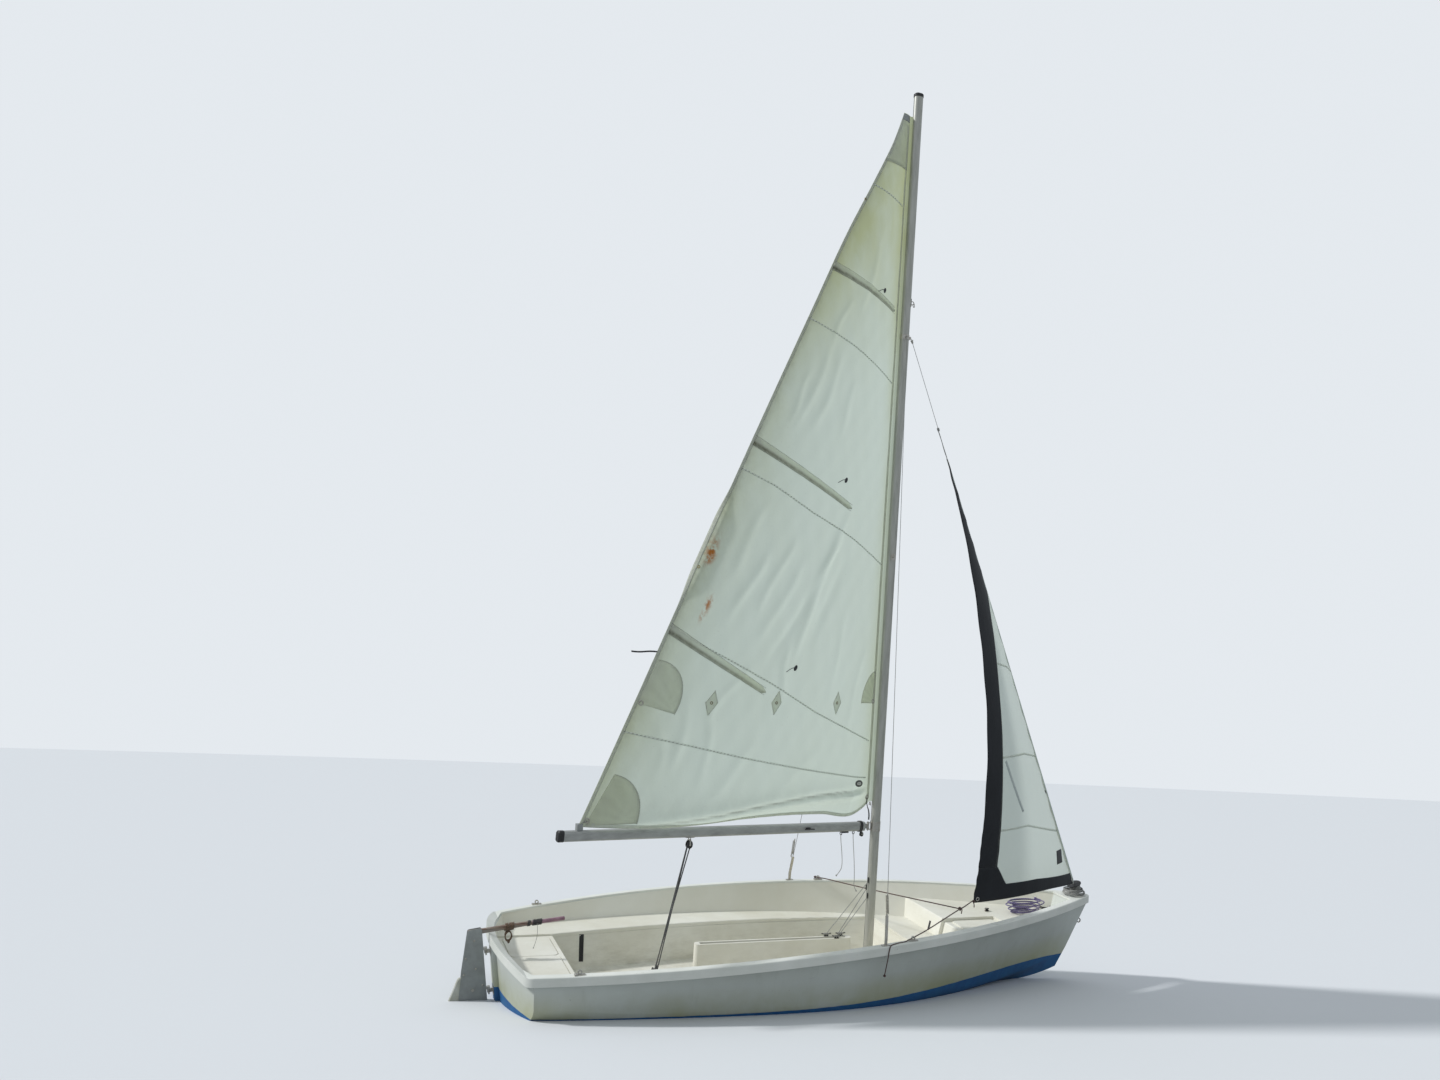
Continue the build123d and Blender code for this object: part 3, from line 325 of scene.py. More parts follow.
board_finish, tree, shader = new_finish("board_laminate_worn", (0.62, 0.63, 0.58), 0.45)
patches = noise(tree, place(tree), 7, 7, 0.7)
stain = blend_colour(tree, between(tree, patches, 0.4, 0.7), (0.62, 0.63, 0.58), (0.42, 0.42, 0.33))
nicks = between(tree, noise(tree, place(tree), 60, 3), 0.7, 0.76)
colour_with(tree, shader, blend_colour(tree, nicks, stain, (0.20, 0.18, 0.14)))
raise_surface(tree, shader, noise(tree, place(tree), 40, 5), 0.0008, 0.4)

grip_finish, tree, shader = new_finish("tiller_sleeve_faded", (0.30, 0.17, 0.20), 0.85)
shader.inputs["Sheen Weight"].default_value = 0.3
foam = noise(tree, place(tree), 500, 4, 0.7)
fade = noise(tree, place(tree), 18, 4)
two_tones(tree, shader, fade, 0.35, 0.65, (0.34, 0.20, 0.24), (0.22, 0.12, 0.16))
raise_surface(tree, shader, foam, 0.0006, 0.7)
print("wood, board and grip finishes")

# %% [markdown]
# ## Finishes on the CAD nodes
# Each node takes the finish of its slot in the record. Two nodes have a finish of their own: the
# boom is a darker extrusion than the mast, and the clew slide is grey alloy.

# %% Dress the nodes
SLOT_FINISH = {"hull_gelcoat": hull_finish, "rail_gelcoat": rail_finish, "inside_gelcoat": inside_finish,
               "board_laminate": board_finish, "rudder_laminate": board_finish, "rudder_alloy": alloy_finish,
               "stainless_steel": stainless_finish, "rigging_wire": wire_finish,
               "spar_aluminium": spar_finish, "black_plastic": plastic_finish,
               "tiller_wood": wood_finish, "tiller_sleeve": grip_finish}
OWN_FINISH = {"boom": boom_finish, "clew_slide": alloy_finish}
bare = []
for name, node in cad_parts.items():
    for slot in node.material_slots:
        key = slot.material.name.split(".")[0]
        if name in OWN_FINISH:
            slot.material = OWN_FINISH[name]
        elif key in SLOT_FINISH:
            slot.material = SLOT_FINISH[key]
        else:
            bare.append((name, key))
print("nodes with no finish of their own yet:", bare)

# %% [markdown]
# ## The sails as surfaces
# Both sails are described the same way: a table of heights, and for each the length of the chord
# and its angle off the centreline, which twists open towards the head. A spot on the cloth is a
# share of the chord and a height. Cloth, seams, patches and eyelets all ask the same function
# for their places, so what is sewn on the sail follows each wrinkle in it.

# %% Sail surfaces
MAIN_ROWS = ((1.370, 2.530, 14.8), (2.030, 2.273, 16.2), (2.950, 1.910, 18.2), (4.090, 1.436, 20.7),
             (5.070, 0.991, 22.8), (5.730, 0.675, 24.3), (6.230, 0.392, 25.4), (6.600, 0.190, 26.2),
             (6.850, 0.085, 26.7))
JIB_ROWS = ((0.705, 1.325, 19), (1.400, 1.045, 27), (1.950, 0.826, 33), (2.780, 0.530, 41),
            (3.390, 0.285, 46), (3.700, 0.165, 48), (4.130, 0.030, 50))
LUFF_X = 0.426
STAY = (Vector((2.388, 0, 0.700)), Vector((0.553, 0, 5.058)))


def smooth(rows, z, column):
    """A value from a table of heights, on a curve through its rows."""
    z = np.asarray(z, float)
    heights = np.array([row[0] for row in rows])
    values = np.array([row[column] for row in rows], float)
    slopes = np.gradient(values, heights)
    i = np.clip(np.searchsorted(heights, z, "right") - 1, 0, len(rows) - 2)
    step = heights[i + 1] - heights[i]
    t = (z - heights[i]) / step
    inside = np.clip(t, 0, 1)
    start, end = values[i], values[i + 1]
    curve = (start * (2 * inside ** 3 - 3 * inside ** 2 + 1) + end * (3 * inside ** 2 - 2 * inside ** 3)
             + step * slopes[i] * (inside ** 3 - 2 * inside ** 2 + inside)
             + step * slopes[i + 1] * (inside ** 3 - inside ** 2))
    return curve + np.where(t < 0, slopes[i], slopes[i + 1]) * (t - inside) * step


def soft_step(value, low, high):
    t = np.clip((np.asarray(value, float) - low) / (high - low), 0, 1)
    return t * t * (3 - 2 * t)


def on_sail(rows, luff_x, share, z, belly, lee_more=0.0):
    """Places on a sail. belly is its depth as a share of the chord, towards starboard."""
    share, z = np.broadcast_arrays(np.asarray(share, float), np.asarray(z, float))
    chord = smooth(rows, z, 1)
    angle = np.radians(smooth(rows, z, 2))
    along = share * chord
    depth = 4 * share * (1 - share) * belly * chord + lee_more
    x = luff_x - np.cos(angle) * along + np.sin(angle) * depth
    y = -np.sin(angle) * along - np.cos(angle) * depth
    ahead = share < 0
    x = np.where(ahead, luff_x - along, x)
    y = np.where(ahead, 0, y)
    return np.stack([x, y, z], axis=-1)


print("chord of the mainsail at 3 m:", round(float(smooth(MAIN_ROWS, 3.0, 1)), 3))

# %% [markdown]
# The mainsail's foot isn't a straight edge. The lower hand's width of cloth turns in under the
# sail towards the boom, as a shelf, and the sail above it rolls over a soft fold that runs from
# the luff down to the clew. From the battens and from the reef points, long shallow wrinkles
# run down the cloth, nearly in line with the leech, and the leech itself curls between two battens.

# %% The mainsail's own shape
FOOT = ((0.00, 1.388), (0.03, 1.340), (0.06, 1.306), (0.21, 1.328), (0.33, 1.342), (0.49, 1.340),
        (0.64, 1.322), (0.75, 1.324), (0.86, 1.334), (0.95, 1.345), (1.00, 1.352))
FOLD = ((0.00, 1.505), (0.07, 1.494), (0.29, 1.490), (0.46, 1.456), (0.70, 1.376), (0.85, 1.345), (1.00, 1.345))
# share and height where a wrinkle starts and ends, its half width and its height, in metres
WRINKLES = ((0.33, 3.58, 0.54, 2.34, 0.034, 0.014), (0.36, 3.40, 0.50, 2.85, 0.026, 0.009),
            (0.31, 3.30, 0.44, 2.45, 0.044, -0.009), (0.62, 3.35, 0.70, 2.75, 0.030, 0.009),
            (0.73, 3.25, 0.80, 2.70, 0.034, 0.010), (0.55, 3.20, 0.66, 2.55, 0.034, 0.008),
            (0.45, 3.10, 0.60, 2.42, 0.030, -0.009), (0.80, 3.60, 0.86, 3.00, 0.040, 0.010),
            (0.76, 2.16, 0.70, 1.62, 0.030, 0.010), (0.84, 2.20, 0.80, 1.66, 0.034, 0.009),
            (0.90, 2.05, 0.84, 1.70, 0.028, 0.008), (0.52, 2.60, 0.50, 2.20, 0.026, 0.009),
            (0.66, 2.45, 0.76, 2.05, 0.030, 0.008), (0.24, 2.85, 0.30, 2.20, 0.034, 0.007),
            (0.10, 2.60, 0.18, 1.80, 0.030, 0.006), (0.62, 4.75, 0.70, 4.15, 0.036, 0.009),
            (0.74, 4.85, 0.80, 4.10, 0.034, 0.008), (0.45, 4.60, 0.52, 4.10, 0.034, 0.007),
            (0.82, 4.60, 0.86, 4.15, 0.026, 0.007), (0.50, 5.75, 0.56, 5.05, 0.030, 0.006),
            (0.70, 5.20, 0.74, 4.80, 0.024, 0.006), (0.55, 1.90, 0.68, 1.48, 0.040, 0.006),
            (0.30, 1.80, 0.45, 1.52, 0.045, 0.006))
CURL = (2.80, 3.70)         # heights between which the leech curls
CURL_WIDTH = 0.050


def ripple(share, z):
    """How far the cloth stands off its smooth shape, from the wrinkles and a faint quilting."""
    chord = smooth(MAIN_ROWS, z, 1)
    lift = np.zeros(np.broadcast(share, z).shape)
    for share_0, z_0, share_1, z_1, half, rise in WRINKLES:
        run = np.array([(share_1 - share_0) * float(smooth(MAIN_ROWS, (z_0 + z_1) / 2, 1)), z_1 - z_0])
        length = np.hypot(*run)
        dx, dz = (share - share_0) * chord, z - z_0
        along = (dx * run[0] + dz * run[1]) / length ** 2
        off = (dx * run[1] - dz * run[0]) / length + 0.02 * np.sin(along * 5 + z_0 * 7)
        ends = soft_step(along, -0.12, 0.25) * soft_step(along, 1.12, 0.6)
        lift = lift + rise * ends * np.exp(-(off / half) ** 2)
    lift = lift + 0.0016 * np.sin(share * chord * 38 + z * 9) * np.sin(z * 17 - share * 6)
    edge = soft_step(share, 0.0, 0.05) * soft_step(share, 1.0, 0.97)
    fold = smooth(FOLD, np.clip(share, 0, 1), 1)
    tight = soft_step(share, 0.97, 0.75) * soft_step(share, 0.0, 0.08)
    roll = (0.024 * np.exp(-((z - fold + 0.044) / 0.024) ** 2)
            - 0.020 * np.exp(-((z - fold + 0.002) / 0.013) ** 2))
    return lift * edge + roll * tight


def on_main(share, z):
    """Places on the mainsail, with its shelf, its wrinkles and its curled leech."""
    share, z = np.broadcast_arrays(np.asarray(share, float), np.asarray(z, float))
    foot, fold = smooth(FOOT, share, 1), smooth(FOLD, share, 1)
    depth = np.maximum(fold - foot, 0.004)
    up = np.clip((z - foot) / depth, 0, 1)
    belly = 0.08 * (1 - 0.62 * (1 - up) ** 1.2 * np.clip((fold - foot) / 0.05, 0, 1))
    belly = belly * (1 + 0.05 * np.exp(-((z - fold - 0.03) / 0.045) ** 2))
    spots = on_sail(MAIN_ROWS, LUFF_X, share, z, belly, ripple(share, z))
    chord = smooth(MAIN_ROWS, z, 1)
    curled = soft_step(z, CURL[0], CURL[0] + 0.30) * soft_step(z, CURL[1], CURL[1] - 0.25)
    past = np.clip(share * chord - (chord - CURL_WIDTH), 0, None)
    past = past ** 2 / (past + 0.012) * curled
    angle = np.radians(smooth(MAIN_ROWS, z, 2))
    spots[..., 0] += np.cos(angle) * 0.30 * past - np.sin(angle) * 1.1 * past
    spots[..., 1] += np.sin(angle) * 0.30 * past + np.cos(angle) * 1.1 * past
    return spots


middle = on_main(0.5, 3.0)
print("the sail's middle at 3 m:", short(middle))

# %% [markdown]
# Cloth is laid as a fine grid of points asked from that function. The weathering is painted in the same pass as
# a colour attribute: red says how yellow-green the cloth has gone, which is most at the head and along the
# leech, green says how much grey dirt lies there and, in the crease of the fold above the foot, how much
# painted shade, and blue says how much rust. The finish then breaks each of them up with noise.

# %% Cloth helpers
def grid_mesh(name, spots, marks=None):
    """A sheet of quads through rows of spots."""
    rows, columns = spots.shape[:2]
    faces = [(r * columns + c, r * columns + c + 1, (r + 1) * columns + c + 1, (r + 1) * columns + c)
             for r in range(rows - 1) for c in range(columns - 1)]
    mesh = bpy.data.meshes.new(name)
    mesh.from_pydata(spots.reshape(-1, 3).tolist(), [], faces)
    if marks is not None:
        paint(mesh, marks.reshape(-1, 3))
    mesh.shade_smooth()
    return show(name, mesh)


def paint(mesh, marks):
    layer = mesh.color_attributes.new("marks", "FLOAT_COLOR", "POINT")
    layer.data.foreach_set("color", np.column_stack([marks, np.ones(len(marks))]).ravel().tolist())


def show(name, mesh):
    piece = bpy.data.objects.new(name, mesh)
    scene.collection.objects.link(piece)
    return piece


def facing(surface, share, z):
    """Outward normals of a sail's surface, towards starboard."""
    step = 0.002
    across = surface(share + step, z) - surface(share - step, z)
    upward = surface(share, z + step) - surface(share, z - step)
    normal = np.cross(across, upward)
    normal /= np.linalg.norm(normal, axis=-1, keepdims=True)
    return normal


def sewn(name, surface, share, z, lift, material, body, marks=None, crown=0.0):
    """A patch sewn through the cloth, so it shows on both faces, riding on a body. marks is one
    weathering for all of it or one a point, and crown bulges its middle."""
    share, z = np.broadcast_arrays(share, z)
    rows, columns = share.shape
    base, out = surface(share, z), facing(surface, share, z)
    bulge = lift + crown * np.sin(np.linspace(0, np.pi, columns))[None, :, None]
    both = np.concatenate([(base + out * bulge).reshape(-1, 3), (base - out * bulge).reshape(-1, 3)])
    quads = [(r * columns + c, r * columns + c + 1, (r + 1) * columns + c + 1, (r + 1) * columns + c)
             for r in range(rows - 1) for c in range(columns - 1)]
    far = rows * columns
    faces = quads + [tuple(far + v for v in reversed(quad)) for quad in quads]
    rim = ([c for c in range(columns)] + [r * columns + columns - 1 for r in range(1, rows)]
           + [(rows - 1) * columns + c for c in range(columns - 2, -1, -1)]
           + [r * columns for r in range(rows - 2, 0, -1)])
    faces += [(b, a, far + a, far + b) for a, b in zip(rim, rim[1:] + rim[:1])]
    mesh = bpy.data.meshes.new(name)
    mesh.from_pydata(both.tolist(), [], faces)
    if marks is not None:
        marks = np.broadcast_to(np.asarray(marks, float), share.shape + (3,))
        paint(mesh, np.tile(marks.reshape(-1, 3), (2, 1)))
    mesh.shade_smooth()
    mesh.materials.append(material)
    piece = show(name, mesh)
    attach(piece, body)
    return piece


print("cloth helpers ready")

# %% [markdown]
# Sailcloth is a tight polyester weave. It lets a good part of the sunlight through, so a
# Principled shader alone looks like painted board. Here two fifths of it is a Translucent shader
# with the same colour, and the sun behind the sail makes the cloth glow.

# %% Cloth finish
def cloth_finish(name, fresh, weathered, through=0.42, grime_and_shade=(0.17, 0.165, 0.12)):
    material, tree, shader = new_finish(name, fresh, 0.7)
    shader.inputs["Sheen Weight"].default_value = 0.15
    marks = tree.nodes.new("ShaderNodeAttribute")
    marks.attribute_name = "marks"
    split = tree.nodes.new("ShaderNodeSeparateColor")
    tree.links.new(marks.outputs["Color"], split.inputs[0])
    cloud = noise(tree, place(tree, (1, 1, 0.5)), 2.2, 6, 0.62)
    specks = noise(tree, place(tree, (1, 1, 0.7)), 30, 5, 0.7)
    drift = between(tree, cloud, 0.3, 0.7, 0.55, 1.35)
    aged = maths(tree, "MULTIPLY", split.outputs[0], drift)
    colour = blend_colour(tree, between(tree, aged, 0, 1), fresh, weathered)
    # The green mark darkens the cloth towards the grime colour: grey dirt, and on the mainsail also painted
    # shade in the crease along the fold.
    dirt_and_shade = maths(tree, "MULTIPLY", split.outputs[1], between(tree, specks, 0.3, 0.65, 0.55, 1.15))
    colour = blend_colour(tree, between(tree, dirt_and_shade, 0, 1), colour, grime_and_shade)
    rusty = maths(tree, "MULTIPLY", split.outputs[2], between(tree, specks, 0.42, 0.56))
    colour = blend_colour(tree, between(tree, rusty, 0, 1), colour, (0.46, 0.16, 0.025))
    dust = between(tree, noise(tree, place(tree), 70, 3), 0.68, 0.80, 0, 0.35)
    colour = blend_colour(tree, dust, colour, (0.33, 0.32, 0.25))
    set_input(tree, shader.inputs["Base Color"], colour)
    crease = noise(tree, place(tree, (1, 1, 0.35), (0, 14, 0)), 9, 5, 0.6)
    weave = noise(tree, place(tree), 900, 2)
    bent = raise_surface(tree, shader, crease, 0.006, 0.55)
    raise_surface(tree, shader, weave, 0.0002, 0.5, under=bent)
    glow = tree.nodes.new("ShaderNodeBsdfTranslucent")
    set_input(tree, glow.inputs["Color"], colour)
    both = tree.nodes.new("ShaderNodeMixShader")
    both.inputs[0].default_value = through
    tree.links.new(shader.outputs[0], both.inputs[1])
    tree.links.new(glow.outputs[0], both.inputs[2])
    tree.links.new(both.outputs[0], tree.nodes["Material Output"].inputs["Surface"])
    return material


main_cloth = cloth_finish("mainsail_cloth_worn", (0.82, 0.91, 0.825), (0.58, 0.62, 0.36))
patch_cloth = cloth_finish("mainsail_patch_cloth", (0.92, 0.94, 0.86), (0.80, 0.83, 0.66), 0.5,
                           (0.30, 0.30, 0.22))
tape_cloth = cloth_finish("mainsail_tape_cloth", (0.95, 0.97, 0.94), (0.88, 0.90, 0.76), 0.55,
                          (0.30, 0.30, 0.22))
jib_cloth = cloth_finish("jib_cloth_worn", (0.80, 0.87, 0.82), (0.52, 0.56, 0.46))
print("cloth finishes")

# %% [markdown]
# ## The mainsail
# The sheet is about 130 by 250 points, enough for wrinkles a hand wide. It runs a little past its luff into the
# groove of the mast.

# %% Mainsail sheet
MAIN_HEAD = 6.85
columns = np.concatenate([[-0.035, -0.012], np.linspace(0, 0.93, 112), np.linspace(0.935, 1, 16)])
levels = np.concatenate([np.linspace(0, 0.04, 16), np.linspace(0.045, 1, 235)])
share, level = np.meshgrid(columns, levels)
foot = smooth(FOOT, np.clip(share, 0, 1), 1)
z = foot + level * (MAIN_HEAD - foot)
luff_chord = smooth(MAIN_ROWS, z, 1)
share = np.where(share < 0, share * 0.9 / luff_chord, share)
spots = on_main(share, z)

leech_age = np.exp(-((1 - share) * luff_chord / 0.20) ** 1.2)
head_age = soft_step(z, 4.4, 6.6)
luff_age = np.exp(-(np.clip(share, 0, 1) * luff_chord / 0.12) ** 2)
age = np.clip(0.10 + 0.55 * leech_age + 0.75 * head_age + 0.35 * luff_age, 0, 1)
# Darker near the leech low down, in a band at 1.45 m and along the leech edge from 1.5 m up; the thin dark line
# along the fold is painted shade in its crease.
grime_and_shade = 0.16 * leech_age * soft_step(z, 5.8, 3.6) + 0.10 * np.exp(-((z - 1.45) / 0.10) ** 2) * (share > 0.1)
grime_and_shade = grime_and_shade + (0.45 * np.exp(-((z - smooth(FOLD, np.clip(share, 0, 1), 1) + 0.004) / 0.008) ** 2)
                 * soft_step(share, 0.02, 0.2))
grime_and_shade = grime_and_shade + 0.35 * np.exp(-(((1 - share) * luff_chord) / 0.05) ** 2) * soft_step(z, 1.5, 2.4)
rust = np.zeros_like(z)
for at_share, at_z, wide, tall in ((0.965, 3.225, 0.030, 0.075), (0.955, 3.17, 0.025, 0.040),
                                   (0.895, 2.845, 0.020, 0.055), (0.90, 2.76, 0.012, 0.03)):
    rust += np.exp(-((share - at_share) * luff_chord / wide) ** 2 - ((z - at_z) / tall) ** 2)
mainsail = grid_mesh("mainsail_sheet", spots, np.stack([age, grime_and_shade, np.clip(rust, 0, 1)], axis=-1))
mainsail.data.materials.append(main_cloth)
main_area = float(smooth(MAIN_ROWS, np.linspace(1.33, MAIN_HEAD, 300), 1).mean() * (MAIN_HEAD - 1.33))
print("mainsail", len(mainsail.data.polygons), "faces, area", round(main_area, 2), "m2")

# %% [markdown]
# ## Patches and pockets
# Corners carry the sail's load, so cloth is doubled there in fans and quarter circles, which
# look greener and darker because less light comes through. Each is a sheet of points between
# two edges, set about a millimetre off both faces and stitched along its rim.

# %% Corner patches
def fan(centre_share, centre_z, radius, start, end, rings=10, spokes=26, squeeze=1.0):
    """Shares and heights of a fan of cloth round a corner; angles are from forward, up."""
    reach, turn = np.meshgrid(np.linspace(0.02, 1, rings), np.radians(np.linspace(start, end, spokes)))
    chord = float(smooth(MAIN_ROWS, centre_z, 1))
    height = centre_z + radius * reach * np.sin(turn) * squeeze
    return centre_share - radius * reach * np.cos(turn) / chord, height


PATCH_LIFT = 0.0009
main_patches = []
share, z = fan(0.985, 1.360, 0.335, 2, 82, 12, 30, 1.0)
main_patches.append(("clew_patch", share, np.maximum(z, smooth(FOOT, share, 1) + 0.004)))
share, z = fan(0.992, 2.165, 0.290, -14, 86, 12, 30, 1.0)
main_patches.append(("reef_clew_patch", share, z))
share, z = fan(0.004, 2.150, 0.20, 178, 95, 8, 20, 1.25)
main_patches.append(("reef_tack_patch", share, z))
level, share = np.meshgrid(np.linspace(0, 1, 14), np.linspace(0.02, 0.985, 12))
main_patches.append(("head_patch", share, 6.40 + level * 0.43))
for name, share, z in main_patches:
    fans = 0.5 + 0.5 * np.sin(np.arctan2(z - z.min(), (share - share.min()) * 2 + 0.01) * 22)
    marks = np.stack([np.full_like(z, 0.75), 0.05 + 0.10 * fans, np.zeros_like(z)], axis=-1)
    cloth = patch_cloth if name == "clew_patch" else tape_cloth
    sewn(name, on_main, share, z, PATCH_LIFT, cloth, "boom", marks)
print("corner patches", len(main_patches))

# %% [markdown]
# The battens' pockets are long patches that bulge a little in the middle and narrow at the tip. They are darker
# along their lower edge and at their leech end.

# %% Batten pockets
BATTENS = ((0.985, 5.428, 0.09, 5.245), (0.985, 4.022, 0.315, 3.631), (0.990, 2.668, 0.572, 2.256))
for number, (share_0, z_0, share_1, z_1) in enumerate(BATTENS, 1):
    along, across = np.meshgrid(np.linspace(0, 1, 60), np.linspace(-1, 1, 9), indexing="ij")
    half = 0.033 - 0.009 * along
    tip = np.clip((along - 0.96) / 0.04, 0, 1)
    share = share_0 + along * (share_1 - share_0)
    z = z_0 + along * (z_1 - z_0) + across * half * (1 - 0.75 * tip)
    dirt = np.exp(-((across + 0.55) / 0.40) ** 2) * (0.85 - 0.40 * along) + 0.30 * np.exp(-along / 0.10)
    marks = np.stack([np.full_like(z, 0.6), np.clip(dirt, 0, 1), np.zeros_like(z)], axis=-1)
    sewn(f"batten_pocket_{number}", on_main, share, z, 0.0010, tape_cloth, "boom", marks, crown=0.0035)
print("batten pockets", len(BATTENS))

# %% [markdown]
# Panels are joined by an overlap and sewn along it. The thread has gone dark, so from a few
# metres off a seam reads as a dotted line on a slightly darker band. The stitches are one row of
# short slanting strips, each lying on the cloth on both faces.

# %% Seams
STITCH_SLANT = 0.35         # radians off the seam
STITCH_LIFT = 0.0022        # how far the thread stands off the cloth
thread_finish, tree, shader = new_finish("dark_thread", (0.33, 0.345, 0.29), 0.85)
worn = noise(tree, place(tree), 50, 3)
two_tones(tree, shader, worn, 0.35, 0.7, (0.20, 0.21, 0.175), (0.38, 0.39, 0.33))


def along_line(points, spacing, rows):
    """Even stations along a line: their shares, their heights and the line's length."""
    shares, heights = (np.array([p[i] for p in points], float) for i in (0, 1))
    steps = np.hypot(np.diff(shares) * smooth(rows, (heights[1:] + heights[:-1]) / 2, 1), np.diff(heights))
    run = np.concatenate([[0], np.cumsum(steps)])
    marks = np.arange(0, run[-1], spacing)
    return np.interp(marks, run, shares), np.interp(marks, run, heights), run[-1]


def stitches(name, surface, rows, points, spacing, length, width, body):
    """A row of short slanting stitches along a line on a sail, one object for the whole seam."""
    share, z, _ = along_line(points, spacing, rows)
    chord = smooth(rows, z, 1)
    turn = np.arctan2(np.gradient(z), np.gradient(share) * chord)
    slant = turn - STITCH_SLANT
    corners = []
    for ahead, aside in ((-1, -1), (1, -1), (1, 1), (-1, 1)):
        dx = ahead * length / 2 * np.cos(slant) - aside * width / 2 * np.sin(turn)
        dz = ahead * length / 2 * np.sin(slant) + aside * width / 2 * np.cos(turn)
        corners.append((share + dx / chord, z + dz))
    verts, faces = [], []
    for side in (1, -1):
        start = len(verts)
        placed = [surface(s, h) + side * STITCH_LIFT * facing(surface, s, h) for s, h in corners]
        for k in range(len(share)):
            verts += [p[k].tolist() for p in placed]
            quad = [start + 4 * k + i for i in range(4)]
            faces.append(quad if side > 0 else quad[::-1])
    mesh = bpy.data.meshes.new(name)
    mesh.from_pydata(verts, [], faces)
    mesh.materials.append(thread_finish)
    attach(show(name, mesh), body)


MAIN_SEAMS = (((0.985, 6.165), (0.62, 6.135), (0.08, 6.09)),
              ((0.985, 4.985), (0.76, 4.919), (0.53, 4.851), (0.23, 4.742), (0.02, 4.665)),
              ((0.985, 3.812), (0.80, 3.718), (0.56, 3.560), (0.27, 3.405), (0.02, 3.235)),
              ((0.990, 2.685), (0.90, 2.598), (0.735, 2.466), (0.545, 2.306), (0.335, 2.105), (0.02, 1.855)),
              ((0.990, 1.972), (0.78, 1.884), (0.59, 1.797), (0.34, 1.693), (0.09, 1.595), (0.02, 1.575)))


def seam(sail, number, surface, rows, line, spacing, half, marks, stitch, body):
    """An overlap and its stitches; stitch is their spacing, length and width."""
    share, z, _ = along_line(line, spacing, rows)
    across = np.linspace(-1, 1, 3)[None, :]
    sewn(f"{sail}_seam_{number}", surface, share[:, None] + 0 * across, z[:, None] + half * across,
         0.0007, tape_cloth, body, marks)
    stitches(f"{sail}_stitches_{number}", surface, rows, line, *stitch, body)


for number, line in enumerate(MAIN_SEAMS, 1):
    seam("main", number, on_main, MAIN_ROWS, line, 0.03, 0.006, (0.10, 0.0, 0), (0.030, 0.013, 0.0032), "boom")
print("seams", len(MAIN_SEAMS))

# %% [markdown]
# A leech takes the flogging and a foot takes the rubbing, so both edges are bound with tape, and
# so is the luff. Taped edges look a shade darker, and they give the sheet a visible thickness.

# %% Tapes
def edge_tape(name, surface, rows, z, width, ahead, lift, marks, body):
    """A tape along a sail's luff (ahead) or its leech, over the heights z."""
    chord = smooth(rows, z, 1)
    across = np.linspace(0, 1, 4)[None, :] * (width / chord)[:, None]
    share = (0.012 / chord)[:, None] + across if ahead else 1 - across
    sewn(name, surface, share, z[:, None] + 0 * across, lift, tape_cloth, body, marks)


edge_tape("main_leech_tape", on_main, MAIN_ROWS, np.linspace(1.36, 6.80, 220), 0.024, False, 0.0008,
          (0.5, 0.22, 0), "boom")
edge_tape("main_luff_tape", on_main, MAIN_ROWS, np.linspace(1.41, 6.76, 160), 0.032, True, 0.0008,
          (0.6, 0.25, 0), "boom")
share, rise = np.meshgrid(np.linspace(0.012, 0.985, 120), np.linspace(0.001, 0.026, 4), indexing="ij")
sewn("main_foot_tape", on_main, share, smooth(FOOT, share, 1) + rise, 0.0008, tape_cloth, "boom",
     (0.3, 0.25, 0))
print("tapes 3")

# %% [markdown]
# Patches and pockets are stitched just inside their edges, with finer thread than the seams.

# %% Patch stitching
def rim_of(share, z):
    """The outer edge of a fan, as shares and heights."""
    return list(zip(share[:, -1], z[:, -1]))


for name, share, z in main_patches:
    if name != "head_patch":
        stitches(name + "_stitches", on_main, MAIN_ROWS, rim_of(share, z), 0.011, 0.007, 0.0030, "boom")
for number, (share_0, z_0, share_1, z_1) in enumerate(BATTENS, 1):
    for edge, side in (("upper", 1), ("lower", -1)):
        line = [(share_0, z_0 + side * 0.035), (share_1, z_1 + side * 0.024)]
        stitches(f"batten_stitches_{edge}_{number}", on_main, MAIN_ROWS, line, 0.012, 0.007, 0.0028, "boom")
stitches("head_stitches", on_main, MAIN_ROWS, [(0.96, 6.395), (0.1, 6.398)], 0.012, 0.008, 0.0030, "boom")
print("patch stitching done")

# %% [markdown]
# ## Small hard parts
# Fittings are turned or cut from plate, so the two helpers do the same: one turns a profile round
# an axis, the other gives an outline a thickness and softened edges. Several shapes collect in
# one kit, a list of points and faces, which becomes one piece.

# %% Kit helpers
def new_kit():
    return [], []


def add(kit, verts, faces):
    start = len(kit[0])
    kit[0].extend([tuple(v) for v in verts])
    kit[1].extend([tuple(start + i for i in face) for face in faces])


def skin(kit, verts, around):
    """Closes rings of points, so many around, into a solid: quads between them and two ends."""
    rows = len(verts) // around
    faces = []
    for r in range(rows - 1):
        for k in range(around):
            after = (k + 1) % around
            faces.append((r * around + k, r * around + after, (r + 1) * around + after, (r + 1) * around + k))
    faces.append(tuple(reversed(range(around))))
    faces.append(tuple((rows - 1) * around + k for k in range(around)))
    add(kit, verts, faces)


def axes_for(normal, up=None):
    """Two directions square to a normal."""
    normal = Vector(normal).normalized()
    guide = Vector(up) if up is not None else (Vector((0, 0, 1)) if abs(normal.z) < 0.9 else Vector((1, 0, 0)))
    side = guide.cross(normal).normalized()
    return normal, side, normal.cross(side)


def turned(kit, centre, axis, profile, sides=20):
    """Turns a profile of (radius, distance along the axis); radius 0 closes an end."""
    axis, side, top = axes_for(axis)
    centre = Vector(centre)
    verts = []
    for radius, along in profile:
        for k in range(sides):
            turn = 2 * math.pi * k / sides
            verts.append(centre + axis * along
                         + (side * math.cos(turn) + top * math.sin(turn)) * max(radius, 1e-5))
    skin(kit, verts, sides)


